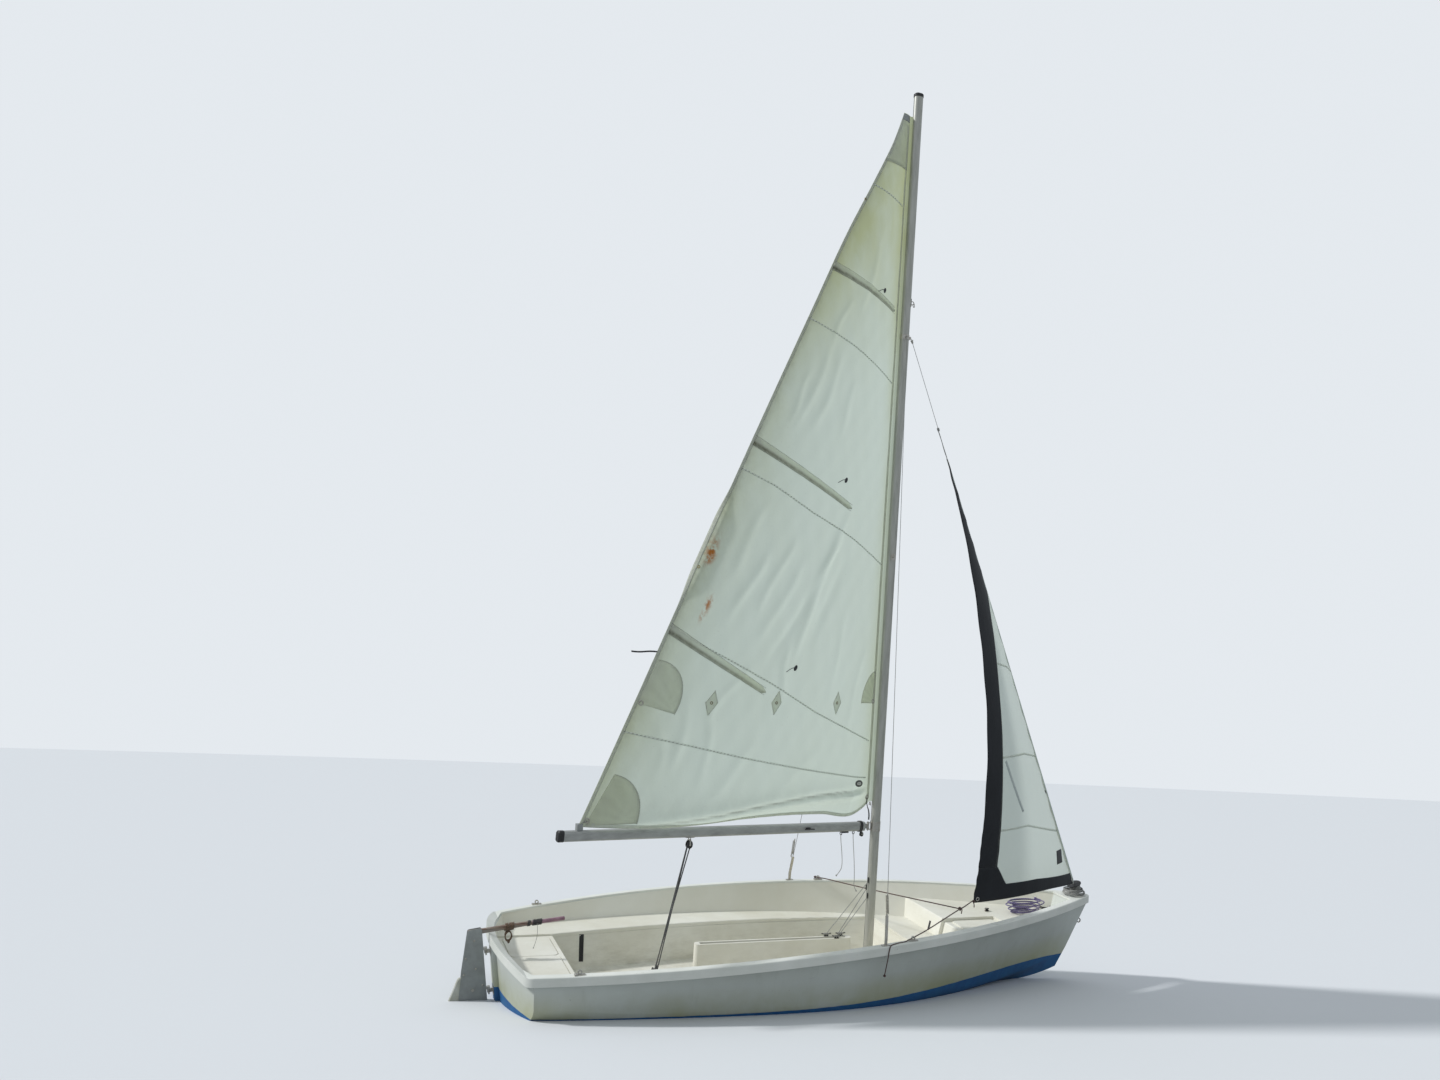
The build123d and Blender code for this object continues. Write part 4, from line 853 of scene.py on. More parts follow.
def rounded(width, height, corner, steps=4):
    """The outline of a rounded rectangle, round its middle."""
    points = []
    for quarter, (sx, sy) in enumerate(((1, 1), (-1, 1), (-1, -1), (1, -1))):
        for k in range(steps + 1):
            turn = math.pi / 2 * (quarter + k / steps)
            points.append((sx * (width / 2 - corner) + corner * math.cos(turn),
                           sy * (height / 2 - corner) + corner * math.sin(turn)))
    return points


def plate(kit, centre, normal, up, outline, thick, soft=0.0008):
    """An outline with a thickness; its edges are softened by soft."""
    normal, side, top = axes_for(normal, up)
    centre = Vector(centre)
    size = max(max(abs(a), abs(b)) for a, b in outline)
    verts = []
    for shrink, along in ((soft, -thick / 2), (0, -thick / 2 + soft), (0, thick / 2 - soft), (soft, thick / 2)):
        keep = 1 - shrink / size
        verts += [centre + side * a * keep + top * b * keep + normal * along for a, b in outline]
    skin(kit, verts, len(outline))


def along_path(kit, path, radius, sides=10):
    """A round bar or rope along points, with domed ends. Returns each point's distance along it."""
    path = [Vector(p) for p in path]
    count = len(path)
    tangents = [(path[min(i + 1, count - 1)] - path[max(i - 1, 0)]).normalized() for i in range(count)]
    _, side, _ = axes_for(tangents[0])
    verts, runs, run = [], [], 0.0
    rings = []
    for i in range(count):
        if i:
            run += (path[i] - path[i - 1]).length
        rings.append((path[i], tangents[i], 1.0, run))
    first, last = rings[0], rings[-1]
    cap_first = [(first[0] - first[1] * radius * a, first[1], b, 0.0)
                 for a, b in ((0.98, 0.2), (0.7, 0.72), (0.3, 0.96))]
    cap_last = [(last[0] + last[1] * radius * a, last[1], b, last[3])
                for a, b in ((0.3, 0.96), (0.7, 0.72), (0.98, 0.2))]
    rings = cap_first + rings + cap_last
    for spot, tangent, share, run in rings:
        side = (side - tangent * side.dot(tangent)).normalized()
        top = tangent.cross(side)
        for k in range(sides):
            turn = 2 * math.pi * k / sides
            verts.append(spot + (side * math.cos(turn) + top * math.sin(turn)) * radius * share)
            runs.append(run)
    skin(kit, verts, sides)
    return runs


def made(kit, name, material, body, angle=38):
    """Closes a kit into one piece that rides on a body."""
    mesh = bpy.data.meshes.new(name)
    mesh.from_pydata([tuple(v) for v in kit[0]], [], kit[1])
    mesh.shade_smooth()
    mesh.set_sharp_from_angle(angle=math.radians(angle))
    mesh.materials.append(material)
    piece = show(name, mesh)
    if body:
        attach(piece, body)
    return piece


def ring_path(centre, axis, radius, steps):
    """Points round a circle, the last on the first."""
    _, side, top = axes_for(axis)
    angles = [math.radians(360 * k / steps) for k in range(steps + 1)]
    return [Vector(centre) + (side * math.cos(a) + top * math.sin(a)) * radius for a in angles]


def touch(names, start, towards):
    """Where a line from start first meets one of the named nodes, and which way its surface faces."""
    best = None
    towards = Vector(towards).normalized()
    for name in names:
        hit, where, normal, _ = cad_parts[name].ray_cast(Vector(start), towards)
        if hit and (best is None or (where - Vector(start)).length < (best[0] - Vector(start)).length):
            best = (where, normal)
    return best


print("kit helpers ready")

# %% [markdown]
# ## Eyelets and sail hardware
# Pressed rings carry the loads where ropes meet cloth: the clew, the reef corners, and a row of
# small eyelets in diamond patches across the sail. Each ring lies in the plane of the cloth where
# it is, so its axis is the sail's own normal there.

# %% Sail rings
def ring_on(kit, surface, share, z, radius, wire, steps, sides):
    """A ring lying on a sail."""
    at, out = Vector(surface(share, z)), Vector(facing(surface, share, z))
    along_path(kit, ring_path(at, out, radius, steps), wire, sides)


REEF_EYELETS = ((0.759, 2.176), (0.517, 2.179), (0.234, 2.169))
for number, (at_share, at_z) in enumerate(REEF_EYELETS, 1):
    chord = float(smooth(MAIN_ROWS, at_z, 1))
    u, v = np.meshgrid(np.linspace(-1, 1, 13), np.linspace(-1, 1, 15), indexing="ij")
    half = 0.045 * (1 - np.abs(v)) + 0.0015
    share, z = at_share + u * half / chord, at_z + v * 0.085
    sewn(f"reef_diamond_{number}", on_main, share, z, 0.0010, tape_cloth, "boom", (0.5, 0.10, 0))
    corners = [(at_share, at_z + 0.082), (at_share + 0.042 / chord, at_z), (at_share, at_z - 0.082),
               (at_share - 0.042 / chord, at_z), (at_share, at_z + 0.082)]
    stitches(f"reef_diamond_stitches_{number}", on_main, MAIN_ROWS, corners, 0.009, 0.006, 0.0026, "boom")
eyelets, big_rings = new_kit(), new_kit()
for at_share, at_z in REEF_EYELETS + ((0.985, 6.02), (0.984, 3.10)):
    ring_on(eyelets, on_main, at_share, at_z, 0.0085, 0.0030, 20, 8)
made(eyelets, "reef_eyelets", brass_finish, "boom")
for at_share, at_z in ((0.984, 1.392), (0.980, 2.165), (0.018, 2.165), (0.016, 1.425)):
    ring_on(big_rings, on_main, at_share, at_z, 0.0145, 0.0040, 28, 10)
made(big_rings, "sail_corner_rings", stainless_finish, "boom")
print("rings", len(REEF_EYELETS) + 6)

# %% [markdown]
# Telltales are short lengths of dark yarn stuck on with a round patch. They show how the
# wind runs over the cloth. A longer ribbon streams aft from the leech at the lowest batten.

# %% Telltales and the small dark patches
def disc(name, surface, rows, at_share, at_z, half_wide, half_tall, lift, material, body, tilt=0.0):
    chord = float(smooth(rows, at_z, 1))
    reach, turn = np.meshgrid(np.linspace(0.04, 1, 5), np.linspace(0, 2 * np.pi, 25), indexing="ij")
    a, b = reach * half_wide * np.cos(turn), reach * half_tall * np.sin(turn)
    share = at_share + (a * math.cos(tilt) - b * math.sin(tilt)) / chord
    sewn(name, surface, share, at_z + a * math.sin(tilt) + b * math.cos(tilt), lift, material, body)


tape_finish, tree, shader = new_finish("dark_tape", (0.03, 0.032, 0.035), 0.6)
scuff = noise(tree, place(tree), 260, 4)
two_tones(tree, shader, scuff, 0.45, 0.7, (0.022, 0.024, 0.028), (0.09, 0.09, 0.085))
raise_surface(tree, shader, scuff, 0.0003, 0.5)
grey_badge, tree, shader = new_finish("grey_oval_cloth", (0.09, 0.10, 0.09), 0.8)
cloud = noise(tree, place(tree), 160, 4)
two_tones(tree, shader, cloud, 0.35, 0.7, (0.055, 0.06, 0.055), (0.16, 0.165, 0.14))

for number, (at_share, at_z) in enumerate(((0.303, 5.359), (0.388, 3.833), (0.468, 2.428)), 1):
    disc(f"telltale_patch_{number}", on_main, MAIN_ROWS, at_share, at_z, 0.015, 0.021, 0.0016, tape_finish,
         "boom", 0.3)
    run, across = np.meshgrid(np.linspace(0, 1, 16), np.linspace(-1, 1, 2), indexing="ij")
    chord = float(smooth(MAIN_ROWS, at_z, 1))
    share = at_share + run * 0.085 / chord
    z = at_z - 0.004 * run - 0.020 * run ** 2 + 0.004 * np.sin(run * 5) + across * 0.0018
    sewn(f"telltale_yarn_{number}", on_main, share, z, 0.0022, tape_finish, "boom")
disc("grey_oval", on_main, MAIN_ROWS, 0.068, 1.540, 0.050, 0.026, 0.0016, grey_badge, "boom", 0.12)
disc("grey_oval_middle", on_main, MAIN_ROWS, 0.068, 1.540, 0.030, 0.013, 0.0022, patch_cloth, "boom", 0.12)

run, across = np.meshgrid(np.linspace(0, 1, 22), np.linspace(-1, 1, 3), indexing="ij")
root, out = on_main(0.992, 2.507), facing(on_main, 0.992, 2.507)
aft = np.array([-0.985, -0.17, 0.0])
ribbon_spots = (root + aft * (run * 0.205)[..., None] + out * (0.010 * np.sin(run * 7) * run + 0.002)[..., None]
                + np.array([0, 0, 1.0]) * (across * 0.0055 + 0.003 * np.sin(run * 6))[..., None])
ribbon = grid_mesh("leech_ribbon", ribbon_spots)
ribbon.data.materials.append(tape_finish)
thicken = ribbon.modifiers.new("thickness", "SOLIDIFY")
thicken.thickness = 0.0006
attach(ribbon, "boom")

share, z = np.meshgrid(np.linspace(0.12, 0.98, 8), np.linspace(6.790, 6.845, 8))
sewn("headboard", on_main, share, z, 0.0022, alloy_finish, "boom")
rivets = new_kit()
for at_share, at_z in ((0.35, 6.806), (0.75, 6.806), (0.35, 6.830), (0.75, 6.830)):
    at, out = Vector(on_main(at_share, at_z)), Vector(facing(on_main, at_share, at_z))
    for face in (1, -1):
        turned(rivets, at + out * 0.0021 * face, out * face,
               ((0.0035, 0), (0.0033, 0.0008), (0.002, 0.0014), (0, 0.0016)), 12)
made(rivets, "headboard_rivets", stainless_finish, "boom")
print("telltales 3, ribbon, headboard")

# %% [markdown]
# ## The jib
# The jib furls round its own stay, so a dark band of cloth along its leech and foot covers it
# when it is rolled. Above the height where the sail grows narrower than the band, all of it is
# dark. The band is a second layer sewn on both faces, with a diagonal corner above the clew.

# %% Jib sheet
def stay_x(z):
    low, high = STAY
    return low.x + (np.asarray(z, float) - low.z) / (high.z - low.z) * (high.x - low.x)


JIB_FOOT = ((0.0, 0.703), (0.36, 0.734), (0.67, 0.724), (1.0, 0.702))
JIB_HEAD = 4.13


def on_jib(share, z):
    """Places on the jib, with a slack leech and the creases that run out of its clew."""
    share, z = np.broadcast_arrays(np.asarray(share, float), np.asarray(z, float))
    chord = smooth(JIB_ROWS, z, 1)
    slack = 0.0022 * np.sin(z * 15) * soft_step(share, 0.80, 0.98) * soft_step(z, 4.0, 3.2)
    down = (z - 0.70) / np.maximum((1.02 - share) * chord + 0.25, 0.05)
    fans = 0.0035 * np.sin(down * 16) * np.exp(-(((1 - share) * chord) ** 2 + (z - 0.7) ** 2) / 0.20)
    hollow = 0.004 * np.sin(z * 31 + 1.3) * np.exp(-(share * chord / 0.10) ** 2) * soft_step(share, 0, 0.03)
    return on_sail(JIB_ROWS, stay_x(z), share, z, 0.08, slack + fans * soft_step(share, 0, 0.1) + hollow)


share, level = np.meshgrid(np.linspace(0, 1, 70), np.linspace(0, 1, 190))
foot = smooth(JIB_FOOT, share, 1)
z = foot + level * (JIB_HEAD - foot)
chord = smooth(JIB_ROWS, z, 1)
age = np.clip(0.12 + 0.35 * np.exp(-(share * chord / 0.06) ** 2) + 0.25 * soft_step(z, 2.4, 3.6), 0, 1)
grime_and_shade = 0.10 * np.exp(-((z - 0.75) / 0.15) ** 2) + 0.12 * np.exp(-(share * chord / 0.03) ** 2)
jib = grid_mesh("jib_sheet", on_jib(share, z), np.stack([age, grime_and_shade, 0 * z], axis=-1))
jib.data.materials.append(jib_cloth)
jib_heights = np.linspace(0.71, JIB_HEAD, 300)
jib_area = float(smooth(JIB_ROWS, jib_heights, 1).mean() * (JIB_HEAD - 0.71))
print("jib area", round(jib_area, 2), "m2")

# %% [markdown]
# The band's cloth is almost black. It has faded unevenly and carries a little salt, so two noises
# lift it slightly in places, and a soft bump lets its creases catch the light.

# %% Navy band
navy_finish, tree, shader = new_finish("navy_band_cloth", (0.006, 0.008, 0.013), 0.72)
shader.inputs["Sheen Weight"].default_value = 0.04
fade = noise(tree, place(tree, (1, 1, 0.4)), 6, 6, 0.65)
chalk = noise(tree, place(tree, (1, 1, 0.5)), 90, 4, 0.7)
navy = blend_colour(tree, between(tree, fade, 0.35, 0.7), (0.0032, 0.0048, 0.0080), (0.0075, 0.0100, 0.0145))
navy = blend_colour(tree, between(tree, chalk, 0.62, 0.80, 0, 0.22), navy, (0.035, 0.040, 0.045))
colour_with(tree, shader, navy)
raise_surface(tree, shader, noise(tree, place(tree, (1, 1, 0.35), (0, 14, 0)), 12, 5, 0.6), 0.006, 0.6)

BAND = ((0.974, 0.854), (1.329, 0.833), (1.966, 0.781), (2.394, 0.715), (2.687, 0.615), (2.945, 0.464),
        (3.170, 0.12), (3.28, 0.012))
z = np.concatenate([np.linspace(0.9745, 3.28, 170), np.linspace(3.29, 4.125, 60)])
inner = np.where(z < 3.28, smooth(BAND, np.minimum(z, 3.28), 1), 0.012)
across = np.linspace(0, 1, 20)[None, :]
share = inner[:, None] * (1 - across) + across
sewn("navy_leech_band", on_jib, share, z[:, None] + 0 * across, 0.0016, navy_finish, "hull")
share = np.linspace(0.012, 1.0, 110)[:, None]
top = np.interp(share, (0.012, 0.485, 0.774, 0.854, 1.0), (0.794, 0.838, 0.835, 0.9755, 0.9755))
bottom = smooth(JIB_FOOT, share, 1) + 0.001
z = bottom + np.linspace(0, 1, 12)[None, :] * (top - bottom)
sewn("navy_foot_band", on_jib, share + 0 * z, z, 0.0016, navy_finish, "hull")
print("navy band in two pieces")

# %% [markdown]
# The jib's seams, tape, marks and corner rings are placed by share and height, like the main's.

# %% Jib seams, stripe and small patches
JIB_SEAMS = (((0.80, 1.803), (0.40, 1.813), (0.02, 1.756)), ((0.84, 1.248), (0.53, 1.262), (0.02, 1.146)),
             ((0.66, 2.52), (0.30, 2.49), (0.03, 2.44)))
for number, line in enumerate(JIB_SEAMS, 1):
    seam("jib", number, on_jib, JIB_ROWS, line, 0.02, 0.008, (0.20, 0.04, 0), (0.026, 0.011, 0.0028), "hull")
stitches("navy_band_stitches", on_jib, JIB_ROWS, [(s + 0.012, h) for h, s in BAND[:-1]], 0.014, 0.009, 0.0026,
         "hull")
edge_tape("jib_luff_tape", on_jib, JIB_ROWS, np.linspace(0.72, 3.26, 120), 0.030, True, 0.0009, (0.45, 0.2, 0),
          "hull")
stripe_share, stripe_z, _ = along_line(((0.757, 1.775), (0.563, 1.357)), 0.02, JIB_ROWS)
across = np.linspace(-1, 1, 3)[None, :]
chord = smooth(JIB_ROWS, stripe_z, 1)[:, None]
grey_tape, tree, shader = new_finish("grey_stripe_tape", (0.30, 0.34, 0.33), 0.8)
speck = noise(tree, place(tree), 90, 4)
two_tones(tree, shader, speck, 0.35, 0.7, (0.42, 0.47, 0.45), (0.54, 0.59, 0.57))
sewn("jib_grey_stripe", on_jib, stripe_share[:, None] + across * 0.011 / chord,
     stripe_z[:, None] - across * 0.005, 0.0012, grey_tape, "hull")
disc("jib_dark_dot", on_jib, JIB_ROWS, 0.040, 1.470, 0.016, 0.015, 0.0018, tape_finish, "hull")
share, z = np.meshgrid(np.linspace(0.078, 0.178, 8), np.linspace(0.902, 1.004, 10), indexing="ij")
sewn("jib_dark_rectangle", on_jib, share - (z - 0.95) * 0.41, z, 0.0016, tape_finish, "hull")
jib_rings = new_kit()
for at_share, at_z in ((0.975, 0.732), (0.012, 0.735), (0.5, 4.105)):
    ring_on(jib_rings, on_jib, at_share, at_z, 0.0125, 0.0036, 26, 10)
made(jib_rings, "jib_corner_rings", stainless_finish, "hull")
print("jib details done")

# %% [markdown]
# ## Ropes
# A rope is a tube that follows a smooth line. The line is a NURBS spline through a few control
# points, which bends as rope does, and Blender gives back the points along it. The tube keeps
# the distance along itself in its UV map, so the braid runs true round every bend.

# %% Rope helpers
def route(points, fineness=10):
    """Points along a NURBS spline that has the given control points."""
    line = bpy.data.curves.new("route", "CURVE")
    line.dimensions = "3D"
    line.resolution_u = fineness
    spline = line.splines.new("NURBS")
    spline.points.add(len(points) - 1)
    for point, spot in zip(spline.points, points):
        point.co = (*spot, 1)
    spline.order_u = 3
    spline.use_endpoint_u = True
    holder = bpy.data.objects.new("route", line)
    flat = bpy.data.meshes.new_from_object(holder)
    found = [vertex.co.copy() for vertex in flat.vertices]
    bpy.data.objects.remove(holder)
    bpy.data.curves.remove(line)
    bpy.data.meshes.remove(flat)
    return found


def rope(name, path, diameter, material, body, sides=10):
    """A rope along a path, with its length in the UV map."""
    kit = new_kit()
    runs = along_path(kit, path, diameter / 2, sides)
    piece = made(kit, name, material, body, angle=80)
    layer = piece.data.uv_layers.new(name="rope")
    for polygon in piece.data.polygons:
        around = [piece.data.loops[i].vertex_index % sides for i in polygon.loop_indices]
        wraps = max(around) - min(around) > sides / 2
        for i, k in zip(polygon.loop_indices, around):
            turn = (k + (sides if wraps and k < sides / 2 else 0)) / sides
            layer.data[i].uv = (turn, runs[piece.data.loops[i].vertex_index] * 10)
    return piece


def rope_finish(name, main, fleck, pitch, share=0.5, rough=0.88):
    """A braided cover: two sets of strands cross, one strand in a few has another colour, and the grooves
    between the strands are darkened as painted shade.
    """
    material, tree, shader = new_finish(name, main, rough)
    shader.inputs["Sheen Weight"].default_value = 0.25
    where = tree.nodes.new("ShaderNodeUVMap").outputs[0]
    split = tree.nodes.new("ShaderNodeSeparateXYZ")
    tree.links.new(where, split.inputs[0])
    turn = maths(tree, "MULTIPLY", split.outputs[0], 2 * math.pi * 3)
    along = maths(tree, "MULTIPLY", split.outputs[1], 2 * math.pi * 0.1 / pitch)
    left = maths(tree, "SINE", maths(tree, "ADD", turn, along))
    right = maths(tree, "SINE", maths(tree, "SUBTRACT", turn, along))
    strands = maths(tree, "MAXIMUM", left, right)
    worn = noise(tree, place(tree), 60, 4)
    picked = between(tree, left, 0.55 - share, 0.75 - share)
    colour = blend_colour(tree, picked, main, fleck)
    # Painted shade: the colour darkens in the grooves between the strands.
    dark = maths(tree, "MULTIPLY", between(tree, strands, 0.4, -0.2), 0.75)
    colour = blend_colour(tree, dark, colour, tuple(c * 0.25 for c in main))
    colour = blend_colour(tree, between(tree, worn, 0.5, 0.75, 0, 0.4), colour, (0.25, 0.23, 0.19))
    set_input(tree, shader.inputs["Base Color"], colour)
    raise_surface(tree, shader, strands, 0.0012, 0.9)
    return material


sheet_rope = rope_finish("red_brown_rope", (0.075, 0.028, 0.024), (0.12, 0.06, 0.05), 0.012)
light_cord = rope_finish("light_cord", (0.52, 0.52, 0.47), (0.38, 0.38, 0.35), 0.007)
main_rope = rope_finish("dark_main_rope", (0.035, 0.04, 0.05), (0.16, 0.16, 0.16), 0.013, 0.1)
purple_rope = rope_finish("purple_white_rope", (0.42, 0.38, 0.52), (0.060, 0.030, 0.23), 0.020, 0.85)
grey_rope = rope_finish("grey_rope", (0.42, 0.42, 0.39), (0.27, 0.27, 0.26), 0.013)
dark_cord = rope_finish("dark_cord", (0.02, 0.02, 0.022), (0.05, 0.05, 0.05), 0.006)
brown_rope = rope_finish("brown_rope", (0.16, 0.085, 0.045), (0.23, 0.15, 0.09), 0.010)
print("rope finishes 7")

# %% [markdown]
# A stopper knot is a trefoil curve in a tight bend. A block is two cheeks with a sheave between
# them, and a strap that carries the load. A cleat is a foot and a bar that ends in two horns.

# %% Knots, blocks and cleats
def overhand(centre, axis, rope_diameter, material, name, body):
    """A stopper knot: a trefoil wound tight round an axis."""
    axis, side, top = axes_for(axis)
    size = rope_diameter * 0.55
    spots = []
    for k in range(49):
        t = 2 * math.pi * k / 48
        spots.append(Vector(centre) + side * size * (math.sin(t) + 2 * math.sin(2 * t)) * 0.55
                     + top * size * (math.cos(t) - 2 * math.cos(2 * t)) * 0.55
                     - axis * size * 1.1 * math.sin(3 * t))
    return rope(name, spots, rope_diameter * 0.95, material, body)


def block(name, centre, up, sheave_axis, size, body):
    """A pulley block: two cheeks, a sheave between them, a strap with a ring above, and its pin."""
    up, sheave_axis = Vector(up).normalized(), Vector(sheave_axis).normalized()
    centre = Vector(centre)
    cheeks, metal = new_kit(), new_kit()
    egg = [(0.42 * size * math.cos(a), 0.5 * size * math.sin(a) * (1.12 if math.sin(a) > 0 else 0.94))
           for a in [2 * math.pi * k / 28 for k in range(28)]]
    for side in (-1, 1):
        plate(cheeks, centre + sheave_axis * side * size * 0.19, sheave_axis, up, egg, size * 0.10, size * 0.03)
        turned(metal, centre + sheave_axis * side * size * 0.24, sheave_axis * side,
               ((size * 0.13, 0), (size * 0.13, size * 0.02), (size * 0.09, size * 0.045), (0, size * 0.05)),
               16)
        strap = [(0.10 * size * a, b * size) for a, b in ((-1, -0.05), (1, -0.05), (1, 0.60), (-1, 0.60))]
        plate(metal, centre + sheave_axis * side * size * 0.262, sheave_axis, up, strap, size * 0.035,
              size * 0.008)
    groove = ((0.34, -0.13), (0.34, -0.10), (0.27, -0.04), (0.27, 0.04), (0.34, 0.10), (0.34, 0.13))
    turned(cheeks, centre, sheave_axis, [(size * r, size * a) for r, a in groove], 28)
    turned(metal, centre + up * size * 0.56 - sheave_axis * size * 0.30, sheave_axis,
           ((size * 0.05, 0), (size * 0.05, size * 0.6)), 12)
    along_path(metal, ring_path(centre + up * size * 0.68, sheave_axis.cross(up), size * 0.13, 20),
               size * 0.035, 8)
    made(metal, name + "_strap", stainless_finish, body)
    return made(cheeks, name, plastic_finish, body)


def horn_cleat(name, centre, normal, along, length, body):
    """A cleat with two horns: a foot, and a bar that thins to its ends."""
    kit = new_kit()
    normal, along = Vector(normal).normalized(), Vector(along).normalized()
    centre = Vector(centre)
    plate(kit, centre + normal * length * 0.03, normal, along,
          rounded(length * 0.22, length * 0.55, length * 0.10), length * 0.06)
    for side in (-1, 1):
        turned(kit, centre + along * side * length * 0.12, normal,
               ((length * 0.07, 0), (length * 0.055, length * 0.16),
               (length * 0.06, length * 0.20)), 12)
    bar = [(length * 0.5 * (k / 8 - 1), 0.20 + 0.07 * (1 - k / 8) ** 2) for k in range(9)]
    spots = ([centre + along * a + normal * length * h for a, h in bar]
             + [centre - along * a + normal * length * h for a, h in bar[-2::-1]])
    along_path(kit, spots, length * 0.055, 10)
    return made(kit, name, plastic_finish, body)


print("knots, blocks and cleats ready")

# %% [markdown]
# ## The mainsheet
# The mainsheet hauls the boom in. It runs from an eye under the boom down to a block on the cockpit floor and
# back, and its last fall ends in a knot at that block. The parts on the floor ride with the hull and the upper
# block with the boom, and the falls between them ride on neither.

# %% Mainsheet
SHEET_WIDE = 0.0085         # diameter of the sheets
BOOM_PIVOT = Vector((LUFF_X, 0, 1.195))
BOOM_TURN, BOOM_RISE = math.radians(14.6), math.radians(2.2)
boom_along = Vector((-math.cos(BOOM_TURN) * math.cos(BOOM_RISE), -math.sin(BOOM_TURN) * math.cos(BOOM_RISE),
                     math.sin(BOOM_RISE)))
boom_side = Vector((-math.sin(BOOM_TURN), math.cos(BOOM_TURN), 0))
boom_up = boom_along.cross(boom_side)
boom_up *= 1 if boom_up.z > 0 else -1


def on_boom(run, side=0.0, up=0.0):
    return BOOM_PIVOT + boom_along * run + boom_side * side + boom_up * up


SHEET_FOOT = Vector((-1.235, 0.0, 0.0))
foot_at = touch(["cockpit_tub"], SHEET_FOOT + Vector((0, 0, 0.5)), (0, 0, -1))[0]
SHEET_RUN = 1.655           # how far along the boom the sheet is made fast
upper_at = on_boom(SHEET_RUN, 0, -0.092)
lower_at = foot_at + Vector((0, 0, 0.105))
pull = (upper_at - lower_at).normalized()
strap_kit = new_kit()
along_path(strap_kit, ring_path(on_boom(SHEET_RUN, 0, -0.043), boom_along, 0.013, 20), 0.0035, 8)
plate(strap_kit, on_boom(SHEET_RUN, 0, -0.0365), boom_up, boom_along, rounded(0.026, 0.075, 0.011), 0.003)
made(strap_kit, "mainsheet_boom_eye", stainless_finish, "boom")
block("mainsheet_upper_block", upper_at + pull * 0.006, pull, boom_side, 0.056, "boom")
block("mainsheet_lower_block", lower_at, -pull, (1, 0, 0), 0.062, "hull")
base = new_kit()
turned(base, foot_at, (0, 0, 1),
       ((0.036, 0), (0.036, 0.004), (0.026, 0.009), (0.015, 0.018), (0.012, 0.048), (0, 0.050)), 28)
made(base, "mainsheet_swivel", stainless_finish, "hull")
spring = new_kit()
coil = [foot_at + Vector((0.0155 * math.cos(a), 0.0155 * math.sin(a), 0.014 + 0.048 * a / (2 * math.pi * 6)))
        for a in [2 * math.pi * 6 * k / 120 for k in range(121)]]
along_path(spring, coil, 0.0013, 6)
made(spring, "mainsheet_spring", stainless_finish, "hull")
for number, (top_off, low_off) in enumerate((((0.017, 0.006), (0.018, 0.006)),
                                             ((-0.017, -0.004), (-0.018, -0.004)),
                                             ((0.004, 0.020), (0.000, 0.022))), 1):
    high = upper_at + boom_along * -top_off[0] + boom_side * top_off[1]
    low = lower_at + Vector((top_off[1], low_off[0], 0)) + pull * 0.012
    fall = rope(f"mainsheet_fall_{number}", [low.lerp(high, k / 14) for k in range(15)], SHEET_WIDE, main_rope,
                None)
    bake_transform(fall)
overhand(lower_at + Vector((0.024, 0.014, 0.026)), pull, SHEET_WIDE, main_rope, "mainsheet_stopper", "hull")
print("mainsheet from", short(lower_at), "to", short(upper_at))

# %% [markdown]
# ## Jib sheets and leads
# One rope does for both sides: its middle is knotted to the clew, and each end goes through a
# lead on its own rail. The sheets are taut, so they are straight and need no sag. The starboard
# tail lies over the rail and hangs down outside, and the port one stops at its lead in a knot.

# %% Jib sheets
clew = Vector(on_jib(0.99, 0.715))
knot_at = Vector((0.965, -0.520, 0.690))
star_lead, port_lead = (Vector(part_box(name)[0]).lerp(Vector(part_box(name)[1]), 0.5) + Vector((0, 0, -0.004))
                        for name in ("jib_lead_starboard", "jib_lead_port"))
print("leads", short(star_lead), short(port_lead))
strop = route([clew + Vector((0.006, 0.004, 0.012)), clew + Vector((-0.03, -0.006, 0.004)),
               knot_at + Vector((0.04, 0.02, 0.002)), knot_at])
rope("clew_strop_1", strop, SHEET_WIDE, sheet_rope, "hull")
rope("clew_strop_2", [p + Vector((0.001, 0.009, -0.006)) for p in strop], SHEET_WIDE, sheet_rope, "hull")
overhand(knot_at, (knot_at - clew), 0.0115, sheet_rope, "clew_knot", "hull")
overhand(clew + Vector((-0.014, -0.004, 0.002)), (knot_at - clew), SHEET_WIDE, sheet_rope, "clew_knot_inner",
         "hull")
for side, lead, inboard in (("starboard", star_lead, 0.010), ("port", port_lead, -0.03)):
    through = [lead + Vector((0.02, inboard, 0.012)), lead + Vector((-0.012, 0, 0.006))]
    rope(f"jib_sheet_{side}", route([knot_at, knot_at.lerp(lead, 0.3), knot_at.lerp(lead, 0.7)] + through),
         SHEET_WIDE, sheet_rope, "hull")
overhand(port_lead + Vector((-0.026, 0.0, 0.010)), (1, 0, 0), SHEET_WIDE, sheet_rope, "port_stopper", "hull")

# %% [markdown]
# Each shroud ends in a shackle and an adjuster: a pair of strips with a row of pins through them.
# They are built along the wire's own line, so that they look loaded.

# %% Shackles and shrouds
shackles = new_kit()


def shackle(kit, centre, up, wide, wire):
    """A bow shackle: a U of bar with a pin across its open end."""
    up, side, _ = axes_for(up)
    centre = Vector(centre)
    legs = [centre + side * wide / 2 - up * wide * 0.7, centre + side * wide / 2,
            centre + side * wide * 0.42 + up * wide * 0.42,
            centre + up * wide * 0.62, centre - side * wide * 0.42 + up * wide * 0.42, centre - side * wide / 2,
            centre - side * wide / 2 - up * wide * 0.7]
    along_path(kit, route(legs), wire, 10)
    turned(kit, centre - up * wide * 0.62 - side * wide * 0.72, side,
           ((wire * 1.5, 0), (wire * 1.5, wire), (wire, wire * 1.2), (wire, wide * 1.3),
            (wire * 1.5, wide * 1.32), (wire * 1.5, wide * 1.44)), 12)


